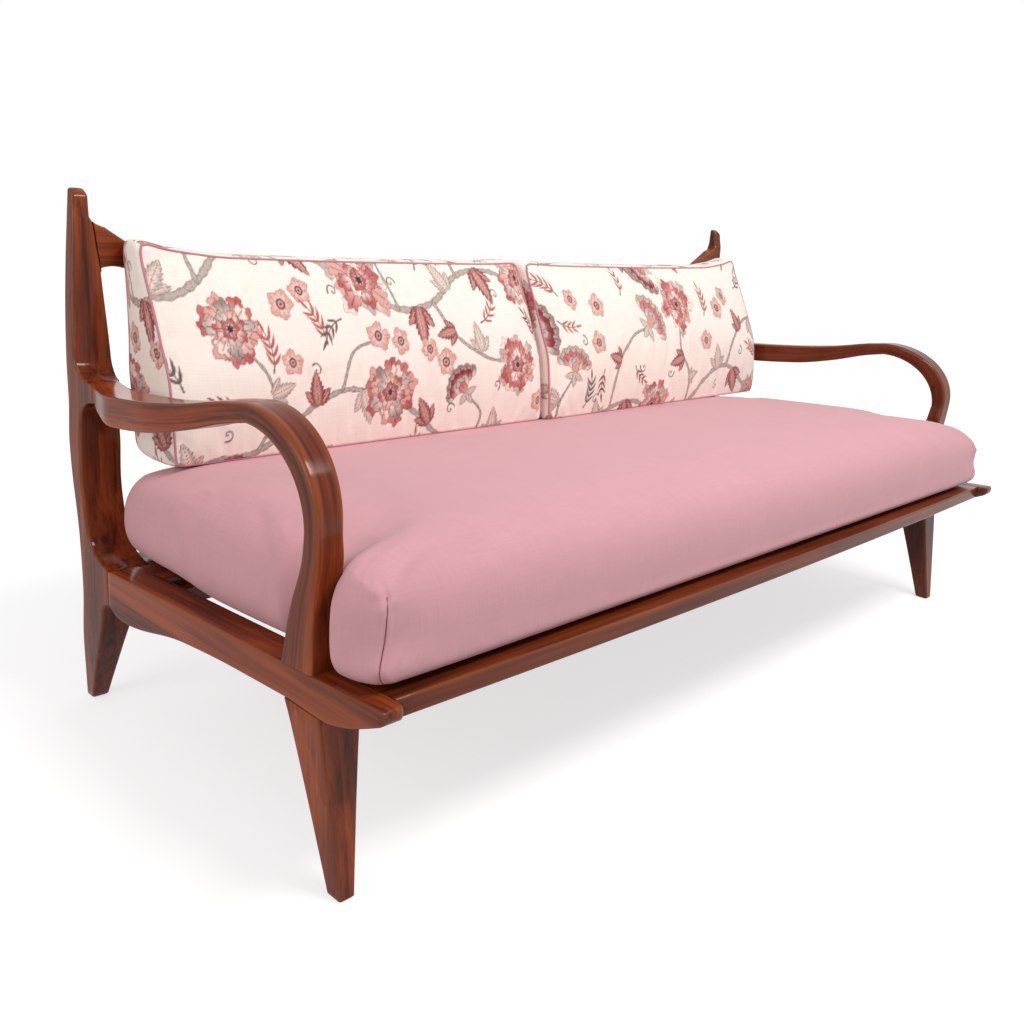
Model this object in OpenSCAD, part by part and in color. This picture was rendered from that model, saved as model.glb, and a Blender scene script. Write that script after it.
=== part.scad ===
// Long teak sofa with a slatted frame, one linen seat cushion and two boxed back cushions.
// The front faces -Y and the floor is z = 0. The origin is on the floor, midway between
// the end frames and midway between the horn tips and the backs of the posts.

/* [Overall] */
// Length over the outer faces of the two end frames
frame_length = 1900; // [1600:10:2100]
// Depth from the horn tips to the backs of the posts
frame_depth = 810; // [770:5:860]
// Height of the back posts
post_height = 852; // [820:2:900]
// Height of the side rails' top face at the horn tips
rail_height = 302; // [290:1:320]
// Fall of the seat towards the back, in degrees
seat_pitch = 3; // [1:0.5:4]

/* [Back posts] */
// Width of a post, seen from the front, at the seat
post_width = 72; // [64:1:80]
// Width of a post at its top
post_top_width = 27; // [22:1:34]
// Distance that the outer face leans in at the top
post_top_inset = 19; // [8:1:26]
// Front-to-back thickness of a post above the arm
post_thickness = 29; // [26:1:36]
// Front-to-back thickness of the rear leg where it leaves the rail
rear_leg_depth = 74; // [64:1:84]
// Front-to-back thickness of the rear foot
rear_foot_depth = 24; // [20:1:32]
// Width of the rear foot
rear_foot_width = 30; // [24:1:38]
// Reach of the post's toe along the side rail
post_toe = 62; // [50:1:74]
// Height of the hollow between the post and the top of the side rail
post_toe_rise = 44; // [30:1:60]
// Rounding of the wooden arrises
arris = 5; // [3:0.5:7]

/* [Side rails and front legs] */
// Width of a side rail
side_rail_width = 55; // [48:1:62]
// Width of a horn, in front of the leg
horn_width = 38; // [32:1:44]
// Thickness of a horn at its tip
horn_tip = 17; // [14:1:22]
// Depth of a side rail at the front leg
side_rail_front = 48; // [42:1:56]
// Depth of a side rail at the rear post
side_rail_rear = 68; // [58:1:76]
// Distance from the horn tips to the front of the leg, at the rail
leg_setback = 117; // [105:1:130]
// Front-to-back depth of a front leg at the rail
leg_depth = 71; // [62:1:80]
// Width of a front leg at the rail
leg_width = 70; // [62:1:76]
// Front-to-back depth of the front foot
foot_depth = 27; // [22:1:34]
// Width of the front foot
foot_width = 25; // [20:1:32]
// Distance that the front of the leg comes forward at the floor
leg_splay = 40; // [20:1:56]
// Distance that the outer face of a leg leans in at the floor
leg_inset = 14; // [4:1:20]

/* [Arms] */
// Height of the armrest's top where it meets the post
arm_rear_height = 557; // [540:1:580]
// Height of the arm's crest
arm_height = 603; // [590:1:625]
// Distance from the horn tips to the front of the arm
arm_setback = 129; // [118:1:140]
// Length of the arm's bend, from its crest to its front face
bend_length = 156; // [140:1:170]
// Height of the arm's bend, from its neck to its crest
bend_rise = 123; // [110:1:135]
// Width of the armrest where it meets the post
armrest_width = 66; // [58:1:70]
// Width of the arm at its crest
crest_width = 54; // [48:1:58]
// Width of the arm at its neck
neck_width = 41; // [36:1:46]
// Width of the arm's foot on the side rail
arm_foot_width = 46; // [40:1:50]
// Front-to-back length of the arm's foot
arm_foot_length = 64; // [54:1:74]
// Thickness of the arm at its crest
crest_thickness = 26; // [22:1:30]
// Thickness of the arm at its neck
neck_thickness = 28; // [24:1:32]
// Thickness of the armrest at its fullest
armrest_thickness = 45; // [38:1:50]
// Distance that the armrest bows out past the end frame
arm_bow = 25; // [10:1:34]
// Reach of the shoulder that carries the armrest, in front of the back of the post
shoulder_reach = 105; // [95:1:115]
// How much further back the armrest meets the post on its inner side
arm_mitre = 44; // [20:1:48]
// Height of the hollow between the shoulder and the post
shoulder_rise = 34; // [24:1:44]

/* [Back] */
// Lowest height of the crest rail's top edge
crest_rail_height = 692; // [670:1:710]
// Height where the crest rail's top edge runs into the posts
ear_height = 801; // [790:1:815]
// Depth of the crest rail in the middle
crest_rail_depth = 50; // [44:1:60]
// Length over which the crest rail's sweep runs out, from the post
crest_sweep = 500; // [400:10:600]
// Thickness of the crest rail
crest_rail_thickness = 23; // [20:1:26]
// Number of slats in the back
back_slats = 9; // [7:1:11]
// Width of a back slat
back_slat_width = 46; // [38:1:60]
// Thickness of a back slat
back_slat_thickness = 11; // [9:1:13]
// Depth of the lower back rail
lower_rail_depth = 50; // [42:1:58]

/* [Seat] */
// Number of slats in the seat
seat_slats = 12; // [9:1:13]
// Width of a seat slat
seat_slat_width = 72; // [56:1:84]
// Thickness of a seat slat
seat_slat_thickness = 16; // [14:1:20]
// Depth of the front rail, front to back
front_rail_depth = 76; // [66:1:90]
// Thickness of the front rail
front_rail_thickness = 26; // [23:1:30]
// Distance from the horn tips back to the ends of the front rail's face
front_rail_setback = 20; // [16:1:28]
// Bow of the front rail's face, in the middle
front_rail_bow = 13; // [0:1:15]
// Thickness of the apron under the front rail
apron_thickness = 24; // [20:1:28]
// Depth of the apron below the front rail
apron_drop = 32; // [26:1:38]
// Depth of the rear seat board, front to back
rear_board_depth = 124; // [100:1:140]
// Section of the cleats under the slats
cleat_size = 24; // [20:1:28]

/* [Cushions] */
// Thickness of the seat cushion at its crown
seat_cushion_thickness = 172; // [140:1:180]
// Distance from the end frames' outer faces in to the ends of the seat cushion
seat_cushion_end = 10; // [8:1:60]
// Distance from the horn tips back to the front of the seat cushion
seat_cushion_front = 25; // [15:1:40]
// Distance from the backs of the posts forward to the rear of the seat cushion
seat_cushion_rear = 73; // [72:1:140]
// Height of a back cushion in its middle
back_cushion_height = 314; // [290:1:330]
// Thickness of a back cushion at its bottom
back_cushion_bottom = 132; // [110:1:150]
// Thickness of a back cushion at its top
back_cushion_top = 56; // [48:1:80]
// Rise of a back cushion's outer corner over the middle of its top edge
back_cushion_ear = 24; // [0:1:30]
// Distance from the backs of the posts forward to the middle of the back cushions' bottoms
back_cushion_reach = 132; // [120:1:160]
// Distance that the back cushions lie off the middle
back_cushion_shift = 8; // [0:1:10]
// Distance that the right back cushion sits in front of the left one
right_cushion_lead = 14; // [0:1:20]
// How far the right back cushion's face spreads in front of the post
right_cushion_spread = 9; // [0:1:12]
// Lean of the back cushions' middle plane, in degrees
back_cushion_lean = 12; // [10:0.5:16]
// Gap between a cushion and what it lies against
cushion_gap = 0.4; // [0.3:0.1:1]

/* [Fasteners] */
// Diameter of the wood screws
screw_d = 4; // [3.5:0.5:5]
// Diameter of a screw's head
screw_head_d = 8; // [7:0.5:9]
// Diameter of the dowels
dowel_d = 10; // [8:1:12]
// Length of a dowel
dowel_length = 44; // [36:1:52]

/* [Hidden] */

teak = "#6b3322";
teak_dark = "#4f2113";
brass = "#b08d57";
rose_linen = "#d9a3a8";
cream_jacquard = "#f1dfd2";

$fn = 32;
half_length = frame_length / 2;
front_y = -frame_depth / 2;
back_y = frame_depth / 2;
fall = tan(seat_pitch);
// Space left in a glued joint
glue = 0.1;
// Space left between two slats' ends and their neighbours
slat_gap = 0.5;
// Lift of the dowel and screw bores' mouths past the wood, so that they open cleanly
over = 0.5;
corner_steps = 3;

// Height of the side rails' top face at a given y
function rail_top(y) = rail_height - fall * (y - front_y);

function mix(a, b, t) = a + (b - a) * t;
function unit(t) = min(1, max(0, t));
function ease(t) = let (s = unit(t)) s * s * (3 - 2 * s);
// Hollow quarter round: 1 at t = 0 and 0 at t = 1, level at its far end
function hollow(t) = let (s = unit(t)) 1 - sqrt(1 - (1 - s) * (1 - s));

// Smooth curve through knots [[t, value], ...] that never overshoots them
function rise(k, i) = (k[i + 1][1] - k[i][1]) / (k[i + 1][0] - k[i][0]);
function knot_slope(k, i) =
    i == 0 ? rise(k, 0)
    : i == len(k) - 1 ? rise(k, i - 1)
    : rise(k, i - 1) * rise(k, i) <= 0 ? 0
    : 2 * rise(k, i - 1) * rise(k, i) / (rise(k, i - 1) + rise(k, i));
function span_value(k, i, t) =
    let (h = k[i + 1][0] - k[i][0], s = (t - k[i][0]) / h)
    k[i][1] * (1 + 2 * s) * (1 - s) * (1 - s) + knot_slope(k, i) * h * s * (1 - s) * (1 - s)
    + k[i + 1][1] * s * s * (3 - 2 * s) - knot_slope(k, i + 1) * h * s * s * (1 - s);
function curve(k, t, i = 0) =
    t <= k[0][0] ? k[0][1]
    : i >= len(k) - 1 ? k[len(k) - 1][1]
    : t <= k[i + 1][0] ? span_value(k, i, t)
    : curve(k, t, i + 1);

// Rounded rectangle between two corners, as points in turn from the +,+ corner
function rounded_box(a0, a1, b0, b1, r) =
    let (q = min(r, (a1 - a0) / 2.01, (b1 - b0) / 2.01))
    [for (c = [0:3], s = [0:corner_steps])
        let (
            turn = 90 * c + 90 * s / corner_steps,
            a = (c == 0 || c == 3) ? a1 - q : a0 + q,
            b = c < 2 ? b1 - q : b0 + q)
        [a + q * cos(turn), b + q * sin(turn)]];

// Middle of a ring of points
function middle(ring) = [for (p = ring) 1] * ring / len(ring);
// Solid through a row of rings that have the same number of points
module skin(rings) {
    n = len(rings[0]);
    last = (len(rings) - 1) * n;
    ends = len(rings) * n;
    sides = [for (i = [0:len(rings) - 2], j = [0:n - 1])
        let (a = i * n + j, b = i * n + (j + 1) % n)
        each [[a, a + n, b + n], [a, b + n, b]]];
    start_cap = [for (j = [0:n - 1]) [j, (j + 1) % n, ends]];
    end_cap = [for (j = [0:n - 1]) [last + (j + 1) % n, last + j, ends + 1]];
    polyhedron(
        [for (ring = rings) each ring, middle(rings[0]), middle(rings[len(rings) - 1])],
        concat(sides, start_cap, end_cap));
}

module mirrored(side) {
    if (side < 0) children();
    else mirror([1, 0, 0]) children();
}

// Seat's own frame: y runs back from the horn tips and z = 0 is the side rails' top face
module on_seat() {
    translate([0, front_y, rail_height]) rotate([-seat_pitch, 0, 0]) children();
}

// Back posts

// Where the side rail ends and the post's cheek begins
joint_y = back_y - 143;
cheek_top = rail_top(joint_y);
cheek_bottom = cheek_top - side_rail_rear + 9;
notch_bottom = cheek_bottom - 20;
arm_end_bottom = arm_rear_height - 27;
shoulder_front = back_y - shoulder_reach;

function post_back(z) = back_y - curve([
    [0, 19], [110, 31], [cheek_bottom, 46], [cheek_top + 30, 40], [cheek_top + 155, 18],
    [arm_rear_height - 30, 9], [arm_rear_height + 50, 5], [post_height - 100, 0], [post_height, 2]], z);
function post_depth(z) = curve([
    [0, rear_foot_depth], [notch_bottom, rear_leg_depth], [cheek_top + 28, 38],
    [cheek_top + 100, 32], [cheek_top + 210, 44], [arm_rear_height + 30, post_thickness + 2],
    [ear_height, post_thickness - 4], [post_height, 17]], z);
// Extra reach of the cheek and toe along the rail, and of the shoulder under the armrest
function plain_front(z) = post_back(z) - post_depth(z);
function toe_front(z) =
    z >= cheek_top ? plain_front(z) - post_toe * hollow((z - cheek_top) / post_toe_rise)
    : z >= cheek_bottom ? joint_y
    : mix(plain_front(z), joint_y, hollow((cheek_bottom - z) / (cheek_bottom - notch_bottom)));
function shoulder_share(z) =
    z >= arm_rear_height ? hollow((z - arm_rear_height) / shoulder_rise)
    : z >= arm_end_bottom ? 1
    : hollow((arm_end_bottom - z) / 46);
function post_front(z) =
    z <= cheek_top + post_toe_rise ? max(joint_y, toe_front(z))
    : mix(plain_front(z), shoulder_front, shoulder_share(z));
function post_outer(z) = half_length - curve([
    [0, leg_inset - 1], [cheek_bottom, 0], [cheek_top + 180, 0], [arm_end_bottom, 4],
    [arm_rear_height, 4], [post_height, post_top_inset]], z);
function post_breadth(z) = curve([
    [0, rear_foot_width], [notch_bottom, post_width - 12], [cheek_bottom + 20, post_width],
    [cheek_top + 180, post_width], [arm_end_bottom, post_width - 6],
    [arm_rear_height, post_width - 6], [ear_height - 80, 50], [ear_height - 40, 41.5],
    [ear_height, 33], [ear_height + 12, post_top_width + 1],
    [post_height, post_top_width]], z);
function post_inner(z) = post_outer(z) - post_breadth(z);

// The top slopes down to the front, and the rings near it tilt with it
top_slope = 0.65;
function mitre_share(z) = z <= cheek_top + post_toe_rise ? 0 : shoulder_share(z);
function post_ring(z, inset = 0, tilt = 0) =
    [for (p = rounded_box(-post_outer(z) + inset, -post_inner(z) - inset,
                          post_front(z) + inset, post_back(z) - inset, arris))
        let (
            across = (p[0] + post_outer(z)) / post_breadth(z),
            forward = (post_back(z) - p[1]) / (post_back(z) - post_front(z)))
        [p[0], p[1] + arm_mitre * mitre_share(z) * unit(across) * unit(forward),
         z - tilt * top_slope * (post_back(z) - p[1])]];

post_levels = concat(
    [0, 40, 80, 120, 150, notch_bottom],
    [for (s = [0.25, 0.5, 0.75, 0.9, 1]) mix(notch_bottom, cheek_bottom, s)],
    [cheek_top],
    [for (s = [0.04, 0.12, 0.25, 0.45, 0.7, 1]) cheek_top + s * post_toe_rise],
    [cheek_top + 80, cheek_top + 130, cheek_top + 180],
    [for (s = [1, 0.7, 0.45, 0.25, 0.12, 0.03, 0]) arm_end_bottom - 46 * s],
    [for (s = [0, 0.04, 0.12, 0.25, 0.45, 0.7, 1]) arm_rear_height + shoulder_rise * s],
    [ear_height - 160, ear_height - 120, ear_height - 80],
    [ear_height - 40, ear_height, ear_height + 6, ear_height + 12]);

// Holes for the tenons of the rails that meet the post
module post_mortises() {
    translate([-half_length + 14, joint_y - over, cheek_bottom + 14])
        cube([side_rail_width - 28 + glue, 30 + over + glue, cheek_top - cheek_bottom - 28]);
    crest_tenon(glue);
    lower_rail_tenon(glue);
    shoulder_dowels();
}

module left_post_shape() {
    difference() {
        skin(concat(
            [post_ring(0, 2.5)],
            [for (z = post_levels) post_ring(max(z, 3), 0, unit((z - ear_height) / 40))],
            [post_ring(post_height - 14, 0, 0.7)],
            [for (a = [0, 30, 60, 85]) post_ring(post_height - 5 * (1 - sin(a)), 5 * (1 - cos(a)), 1)]));
        post_mortises();
    }
}

module left_post() { color(teak) left_post_shape(); }
module right_post() { color(teak) mirror([1, 0, 0]) left_post_shape(); }

// Side rails with their horns

leg_front_y = front_y + leg_setback;
leg_back_y = leg_front_y + leg_depth;
horn_root_y = leg_front_y - 10;

function rail_breadth(y) = curve([
    [front_y, horn_width - 4], [front_y + 30, horn_width], [front_y + 110, horn_width],
    [front_y + 170, side_rail_width], [back_y, side_rail_width]], y);
// Depth of the side rail: an arch behind the leg and an upswept horn in front of it
function rail_depth(y) = curve([
    [front_y, horn_tip], [front_y + 34, horn_tip + 15], [front_y + 66, horn_tip + 27],
    [horn_root_y, side_rail_front + 3], [leg_back_y, side_rail_front - 2],
    [leg_back_y + 110, side_rail_front - 2], [leg_back_y + 250, side_rail_front + 3],
    [joint_y - 55, side_rail_rear + 6], [joint_y - 28, side_rail_rear + 4],
    [joint_y, cheek_top - cheek_bottom]], y);
function side_rail_ring(y, inset = 0) =
    [for (p = rounded_box(-half_length + inset, -half_length + rail_breadth(y) - inset,
                          rail_top(y) - rail_depth(y) + inset, rail_top(y) - inset, arris - 1))
        [p[0], y, p[1]]];

module left_side_rail_shape() {
    difference() {
        union() {
            skin([
                side_rail_ring(joint_y - glue),
                for (d = [645, 630, 612, 590, 550, 500, 440, 370, 300, 240, 188, 170, 140, 107, 84, 66, 50, 34, 20])
                    if (front_y + d < joint_y - 6) side_rail_ring(front_y + d),
                for (a = [0, 25, 55, 85]) side_rail_ring(front_y + 7 * (1 - sin(a)), 7 * (1 - cos(a)))]);
            translate([-half_length + 14, joint_y - 4, cheek_bottom + 14])
                cube([side_rail_width - 28, 4 + 30, cheek_top - cheek_bottom - 28 - glue]);
        }
        front_rail_tenon(glue);
        apron_tenon(glue);
        arm_foot_dowels();
        leg_dowel_pair();
    }
}

module left_side_rail() { color(teak) left_side_rail_shape(); }
module right_side_rail() { color(teak) mirror([1, 0, 0]) left_side_rail_shape(); }

// Front legs

// Height of the side rail's underside at a given y
function rail_underside(y) = rail_top(y) - rail_depth(y);
function leg_ring(t, inset = 0) =
    let (
        front = mix(leg_front_y, leg_front_y - leg_splay, t),
        back = front + mix(leg_depth, foot_depth, pow(t, 0.86)),
        outer = half_length - leg_inset * t,
        inner = outer - mix(leg_width, foot_width, pow(t, 0.9)))
    [for (p = rounded_box(-outer + inset, -inner - inset, front + inset, back - inset, arris - 1))
        [p[0], p[1], mix(rail_underside(p[1]) - glue, inset < 0.1 ? 3 : 0, t)]];

module left_front_leg_shape() {
    difference() {
        skin([leg_ring(1, 2.5), for (t = [1, 0.8, 0.6, 0.4, 0.2, 0.08, 0]) leg_ring(t)]);
        leg_dowel_pair();
    }
}

module left_front_leg() { color(teak) left_front_leg_shape(); }
module right_front_leg() { color(teak) mirror([1, 0, 0]) left_front_leg_shape(); }

// Arms

arm_front_y = front_y + arm_setback;
arm_crest_y = arm_front_y + bend_length;
arm_splice_y = arm_crest_y + 42;
neck_z = arm_height - bend_rise;
arm_end_y = shoulder_front;
arm_run = arm_end_y - arm_crest_y;
arm_climb = arm_height - arm_rear_height;

function arm_top(y) = arm_rear_height + arm_climb * curve([
    [0, 0], [0.12, 0.02], [0.45, 0.24], [0.68, 0.5], [0.88, 0.86], [1, 1]], (arm_end_y - y) / arm_run);
function arm_thickness(y) = curve([
    [0, 27], [0.1, armrest_thickness - 7], [0.24, armrest_thickness], [0.45, armrest_thickness - 1],
    [0.68, armrest_thickness - 8], [0.9, crest_thickness + 3], [1, crest_thickness]],
    (arm_end_y - y) / arm_run);
function arm_outer(y) = half_length - 2 + (arm_bow + 2) * curve([
    [0, 0], [0.07, 0.42], [0.22, 0.95], [0.45, 0.95], [0.68, 0.6], [0.88, 0.2], [1, 0.07]],
    (arm_end_y - y) / arm_run);
function arm_breadth(y) = curve([
    [0, armrest_width], [0.22, armrest_width], [0.68, crest_width + 4], [1, crest_width]],
    (arm_end_y - y) / arm_run);

// Ring across the armrest at a given y, mitred where it meets the post
function armrest_ring(y) =
    let (skew = arm_mitre * unit(1 - 1.8 * (arm_end_y - y) / arm_run))
    [for (p = rounded_box(-arm_outer(y), -arm_outer(y) + arm_breadth(y),
                          arm_top(y) - arm_thickness(y), arm_top(y), arris + 1))
        [p[0], y + skew * (p[0] + post_outer(arm_rear_height)) / post_breadth(arm_rear_height), p[1]]];

// Ring across the bent support, which stands between a point on its outer curve and a
// point on its inner curve
function between_ring(outer, inner, x0, width) =
    let (
        d = outer - inner,
        t = norm(d),
        n = d / t)
    [for (p = rounded_box(x0, x0 + width, 0, t, arris + 1))
        [p[0], inner[0] + n[0] * p[1], inner[1] + n[1] * p[1]]];

// Points on the arm's outer and inner curves round the bend, at an angle from the crest
function bend_outer(a) = [arm_crest_y - bend_length * sin(a), neck_z + bend_rise * cos(a)];
function bend_inner(a) = [
    arm_crest_y - (bend_length - neck_thickness) * sin(a),
    neck_z - 15 + (bend_rise + 15 - crest_thickness) * cos(a)];

foot_back_y = arm_front_y + 4 + arm_foot_length;
// Height above the rail, as a share of the way from the arm's foot to its neck
function support_ring(t) =
    let (
        low = rail_top(arm_front_y) + glue,
        z = mix(low, neck_z - 6, t),
        front = arm_front_y + curve([[0, 4], [0.45, 7], [0.8, 1.5], [1, 0]], t),
        back = curve([
            [0, foot_back_y], [0.42, arm_front_y + 52], [0.8, arm_front_y + neck_thickness + 3],
            [1, arm_front_y + neck_thickness]], t),
        width = curve([[0, arm_foot_width], [0.75, arm_foot_width], [1, neck_width]], t))
    [for (p = rounded_box(-half_length, -half_length + width, 0, back - front, arris + 1))
        let (y = back - p[1])
        [p[0], y, z + (1 - unit(t / 0.3)) * (rail_top(y) - rail_top(arm_front_y))]];

module left_armrest_shape() {
    difference() {
        skin([
            for (s = [0, 0.04, 0.09, 0.15, 0.22, 0.32, 0.43, 0.54, 0.65, 0.76, 0.86])
                armrest_ring(mix(arm_end_y - glue, arm_splice_y, s)),
            armrest_ring(arm_splice_y + glue)]);
        shoulder_dowels();
        splice_dowel();
    }
}

module left_arm_support_shape() {
    x0 = -arm_outer(arm_crest_y);
    difference() {
        skin([
            armrest_ring(arm_splice_y),
            armrest_ring(mix(arm_splice_y, arm_crest_y, 0.5)),
            for (a = [0:9:90])
                between_ring(bend_outer(a), bend_inner(a), mix(x0, -half_length, ease(a / 60)),
                    mix(crest_width, neck_width, ease(a / 90))),
            for (t = [0.93, 0.86, 0.78, 0.68, 0.56, 0.42, 0.28, 0.14, 0]) support_ring(t)]);
        arm_foot_dowels();
        splice_dowel();
    }
}

module left_armrest() { color(teak) left_armrest_shape(); }
module right_armrest() { color(teak) mirror([1, 0, 0]) left_armrest_shape(); }
module left_arm_support() { color(teak_dark) left_arm_support_shape(); }
module right_arm_support() { color(teak_dark) mirror([1, 0, 0]) left_arm_support_shape(); }

// Dowels of one end frame, each as the solid that fills its bore
module shoulder_dowels() {
    for (dz = [9, 19])
        translate([-half_length + 33, shoulder_front + (arm_mitre + dowel_length) / 2, arm_end_bottom + dz - 1])
            rotate([90, 0, 0]) cylinder(d = dowel_d * 0.6, h = dowel_length);
}
module splice_dowel() {
    translate([-half_length + 25, arm_splice_y + dowel_length / 2, arm_top(arm_splice_y) - 15])
        rotate([90, 0, 0]) cylinder(d = dowel_d, h = dowel_length);
}
module arm_foot_dowels() {
    for (dy = [18, 50])
        translate([-half_length + 21, arm_front_y + dy, rail_top(arm_front_y + dy) - dowel_length / 2])
            cylinder(d = dowel_d, h = dowel_length);
}
module leg_dowel_pair() {
    for (dy = [20, 50])
        translate([-half_length + 26, leg_front_y + dy, rail_underside(leg_front_y + dy) - dowel_length / 2])
            cylinder(d = dowel_d, h = dowel_length);
}

module arm_dowels() {
    color(teak_dark)
        for (side = [-1, 1]) mirrored(side) {
            shoulder_dowels();
            splice_dowel();
            arm_foot_dowels();
        }
}
module leg_dowels() {
    color(teak_dark) for (side = [-1, 1]) mirrored(side) leg_dowel_pair();
}

// Crest rail

crest_front_y = back_y - 27;
crest_end_x = post_inner(ear_height - 40);

// Height of the crest rail's top and bottom edges, a given way in from the posts
function crest_top(d) = curve([
    [0, ear_height], [0.1, ear_height - 29], [0.184, ear_height - 51], [0.264, ear_height - 69],
    [0.4, crest_rail_height + 20], [0.6, crest_rail_height + 7], [1, crest_rail_height]], d / crest_sweep);
function crest_bottom(d) = curve([
    [0, ear_height - 78], [0.016, ear_height - 71], [0.052, ear_height - 68], [0.12, ear_height - 74],
    [0.22, ear_height - 101], [0.34, crest_rail_height - crest_rail_depth + 27],
    [0.54, crest_rail_height - crest_rail_depth + 10],
    [1, crest_rail_height - crest_rail_depth]], d / crest_sweep);
// The end of the rail leans with the post's inner face
function crest_ring(x, ends = false) =
    let (d = crest_end_x - abs(x))
    [for (p = rounded_box(crest_front_y, crest_front_y + crest_rail_thickness,
                          crest_bottom(d), crest_top(d), arris - 1))
        [ends ? sign(x) * (post_inner(p[1]) - 5 * glue) : x, p[0], p[1]]];

crest_stops = [14, 30, 50, 72, 98, 130, 170, 220, 300, 420, 600];

module crest_tenon(play = 0) {
    translate([-crest_end_x - 20 - play, crest_front_y + 7 - play, ear_height - 64 - play])
        cube([36, 10 + 2 * play, 40 + 2 * play]);
}

module crest_rail() {
    color(teak)
        difference() {
            union() {
                skin([
                    crest_ring(-crest_end_x, true),
                    for (d = crest_stops) crest_ring(-crest_end_x + d),
                    for (i = [len(crest_stops) - 1:-1:0]) crest_ring(crest_end_x - crest_stops[i]),
                    crest_ring(crest_end_x, true)]);
                crest_tenon();
                mirror([1, 0, 0]) crest_tenon();
            }
            for (i = [1:back_slats]) back_slat_blank(i, glue);
        }
}

// Back slats and the lower back rail

lower_rail_front = frame_depth - 104;
lower_rail_y = front_y + lower_rail_front * cos(seat_pitch);
slat_foot_y = lower_rail_y + 25;
lower_rail_top = rail_top(slat_foot_y + 10) - glue;
slat_head_y = crest_front_y + crest_rail_thickness / 2 - back_slat_thickness / 2;
slat_head_z = crest_rail_height - crest_rail_depth;
slat_lean = atan((slat_head_y - slat_foot_y) / (slat_head_z - lower_rail_top + lower_rail_depth));
slat_foot_z = lower_rail_top - lower_rail_depth;
slat_span = 2 * (crest_end_x - 190);
// How far a slat goes into the crest rail
slat_housing = 12;
back_screw_length = 26;
seat_screw_length = 32;

function back_slat_x(i) = -slat_span / 2 + slat_span * (i - 1) / (back_slats - 1);
// Length of a slat up to the crest rail's lower edge, measured along the slat
function back_slat_length(i) =
    (crest_bottom(crest_end_x - abs(back_slat_x(i)) - back_slat_width / 2) - slat_foot_z) / cos(slat_lean);

module on_slat_plane() {
    translate([0, slat_foot_y, slat_foot_z]) rotate([-slat_lean, 0, 0]) children();
}
module back_slat_blank(i, play = 0) {
    foot = play > 0 ? back_slat_length(i) - 3 * slat_housing : 0;
    on_slat_plane()
        translate([back_slat_x(i) - back_slat_width / 2 - play, -play, foot])
            cube([
                back_slat_width + 2 * play,
                back_slat_thickness + 2 * play,
                back_slat_length(i) + slat_housing + play - foot]);
}
module back_slat_screw(i) {
    on_slat_plane()
        for (dx = [-11, 11])
            translate([back_slat_x(i) + dx, back_slat_thickness, lower_rail_depth * 0.5])
                rotate([90, 0, 0]) wood_screw(back_screw_length);
}
module back_slat(i) {
    color(teak)
        difference() {
            back_slat_blank(i);
            back_slat_screw(i);
        }
}

module lower_rail_tenon(play = 0) {
    translate([-half_length + post_width - 26 - play, lower_rail_y + 7 - play, slat_foot_z + 10 - play])
        cube([40, 9 + 2 * play, lower_rail_depth - 22 + 2 * play]);
}
module lower_back_rail() {
    lean = tan(slat_lean);
    inner = post_inner(lower_rail_top) - glue;
    color(teak)
        difference() {
            union() {
                translate([-inner, 0, 0]) rotate([90, 0, 90])
                    linear_extrude(2 * inner) polygon([
                        [lower_rail_y + glue, slat_foot_z],
                        [slat_foot_y, slat_foot_z],
                        [slat_foot_y + lean * lower_rail_depth, lower_rail_top],
                        [lower_rail_y + glue, lower_rail_top]]);
                lower_rail_tenon();
                mirror([1, 0, 0]) lower_rail_tenon();
            }
            for (i = [1:back_slats]) back_slat_screw(i);
        }
}

// Wood screw that runs up +Z from its countersunk head's face at z = 0
module wood_screw(length) {
    cylinder(d1 = screw_head_d, d2 = screw_d, h = (screw_head_d - screw_d) / 2);
    cylinder(d = screw_d, h = length);
}

// Seat: front rail, apron, rear board, cleats and slats

front_rail_back = front_rail_setback + front_rail_depth;
slat_back = lower_rail_front - rear_board_depth;
horn_inner_x = half_length - horn_width;
rail_inner_x = half_length - side_rail_width;
cleat_top = -seat_slat_thickness;
board_cleat_length = (joint_y - front_y) / cos(seat_pitch) - slat_back - cleat_size - 4;

module front_rail_tenon(play = 0) {
    on_seat()
        translate([-horn_inner_x - 16 - play, front_rail_setback + 24 - play, -front_rail_thickness + 7 - play])
            cube([24 + play, front_rail_depth - 44 + 2 * play, front_rail_thickness - 14 + 2 * play]);
}
module apron_tenon(play = 0) {
    on_seat()
        translate([-horn_inner_x - 14 - play, front_rail_back - apron_thickness + 7 - play,
                   -front_rail_thickness - 15 - play])
            cube([22 + play, apron_thickness - 14 + 2 * play, 13 + 2 * play]);
}

module front_rail() {
    inner = horn_inner_x - glue;
    bow_steps = 24;
    color(teak)
        difference() {
            union() {
                on_seat()
                    translate([0, 0, -front_rail_thickness]) linear_extrude(front_rail_thickness)
                        polygon(concat(
                            [[inner, front_rail_back], [-inner, front_rail_back]],
                            [for (i = [0:bow_steps])
                                let (s = 2 * i / bow_steps - 1)
                                [s * inner, front_rail_setback - front_rail_bow * (1 - s * s)]]));
                front_rail_tenon();
                mirror([1, 0, 0]) front_rail_tenon();
            }
        }
}
module front_apron() {
    inner = horn_inner_x - glue;
    color(teak_dark) {
        on_seat()
            translate([-inner, front_rail_back - apron_thickness, -front_rail_thickness - apron_drop])
                cube([2 * inner, apron_thickness, apron_drop - glue]);
        apron_tenon();
        mirror([1, 0, 0]) apron_tenon();
    }
}
module front_cleat() {
    reach = rail_inner_x - 6;
    color(teak_dark)
        difference() {
            on_seat()
                translate([-reach, front_rail_back + glue, cleat_top - cleat_size])
                    cube([2 * reach, cleat_size, cleat_size]);
            for (i = [1:seat_slats]) seat_slat_screws_of(i);
        }
}
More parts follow.
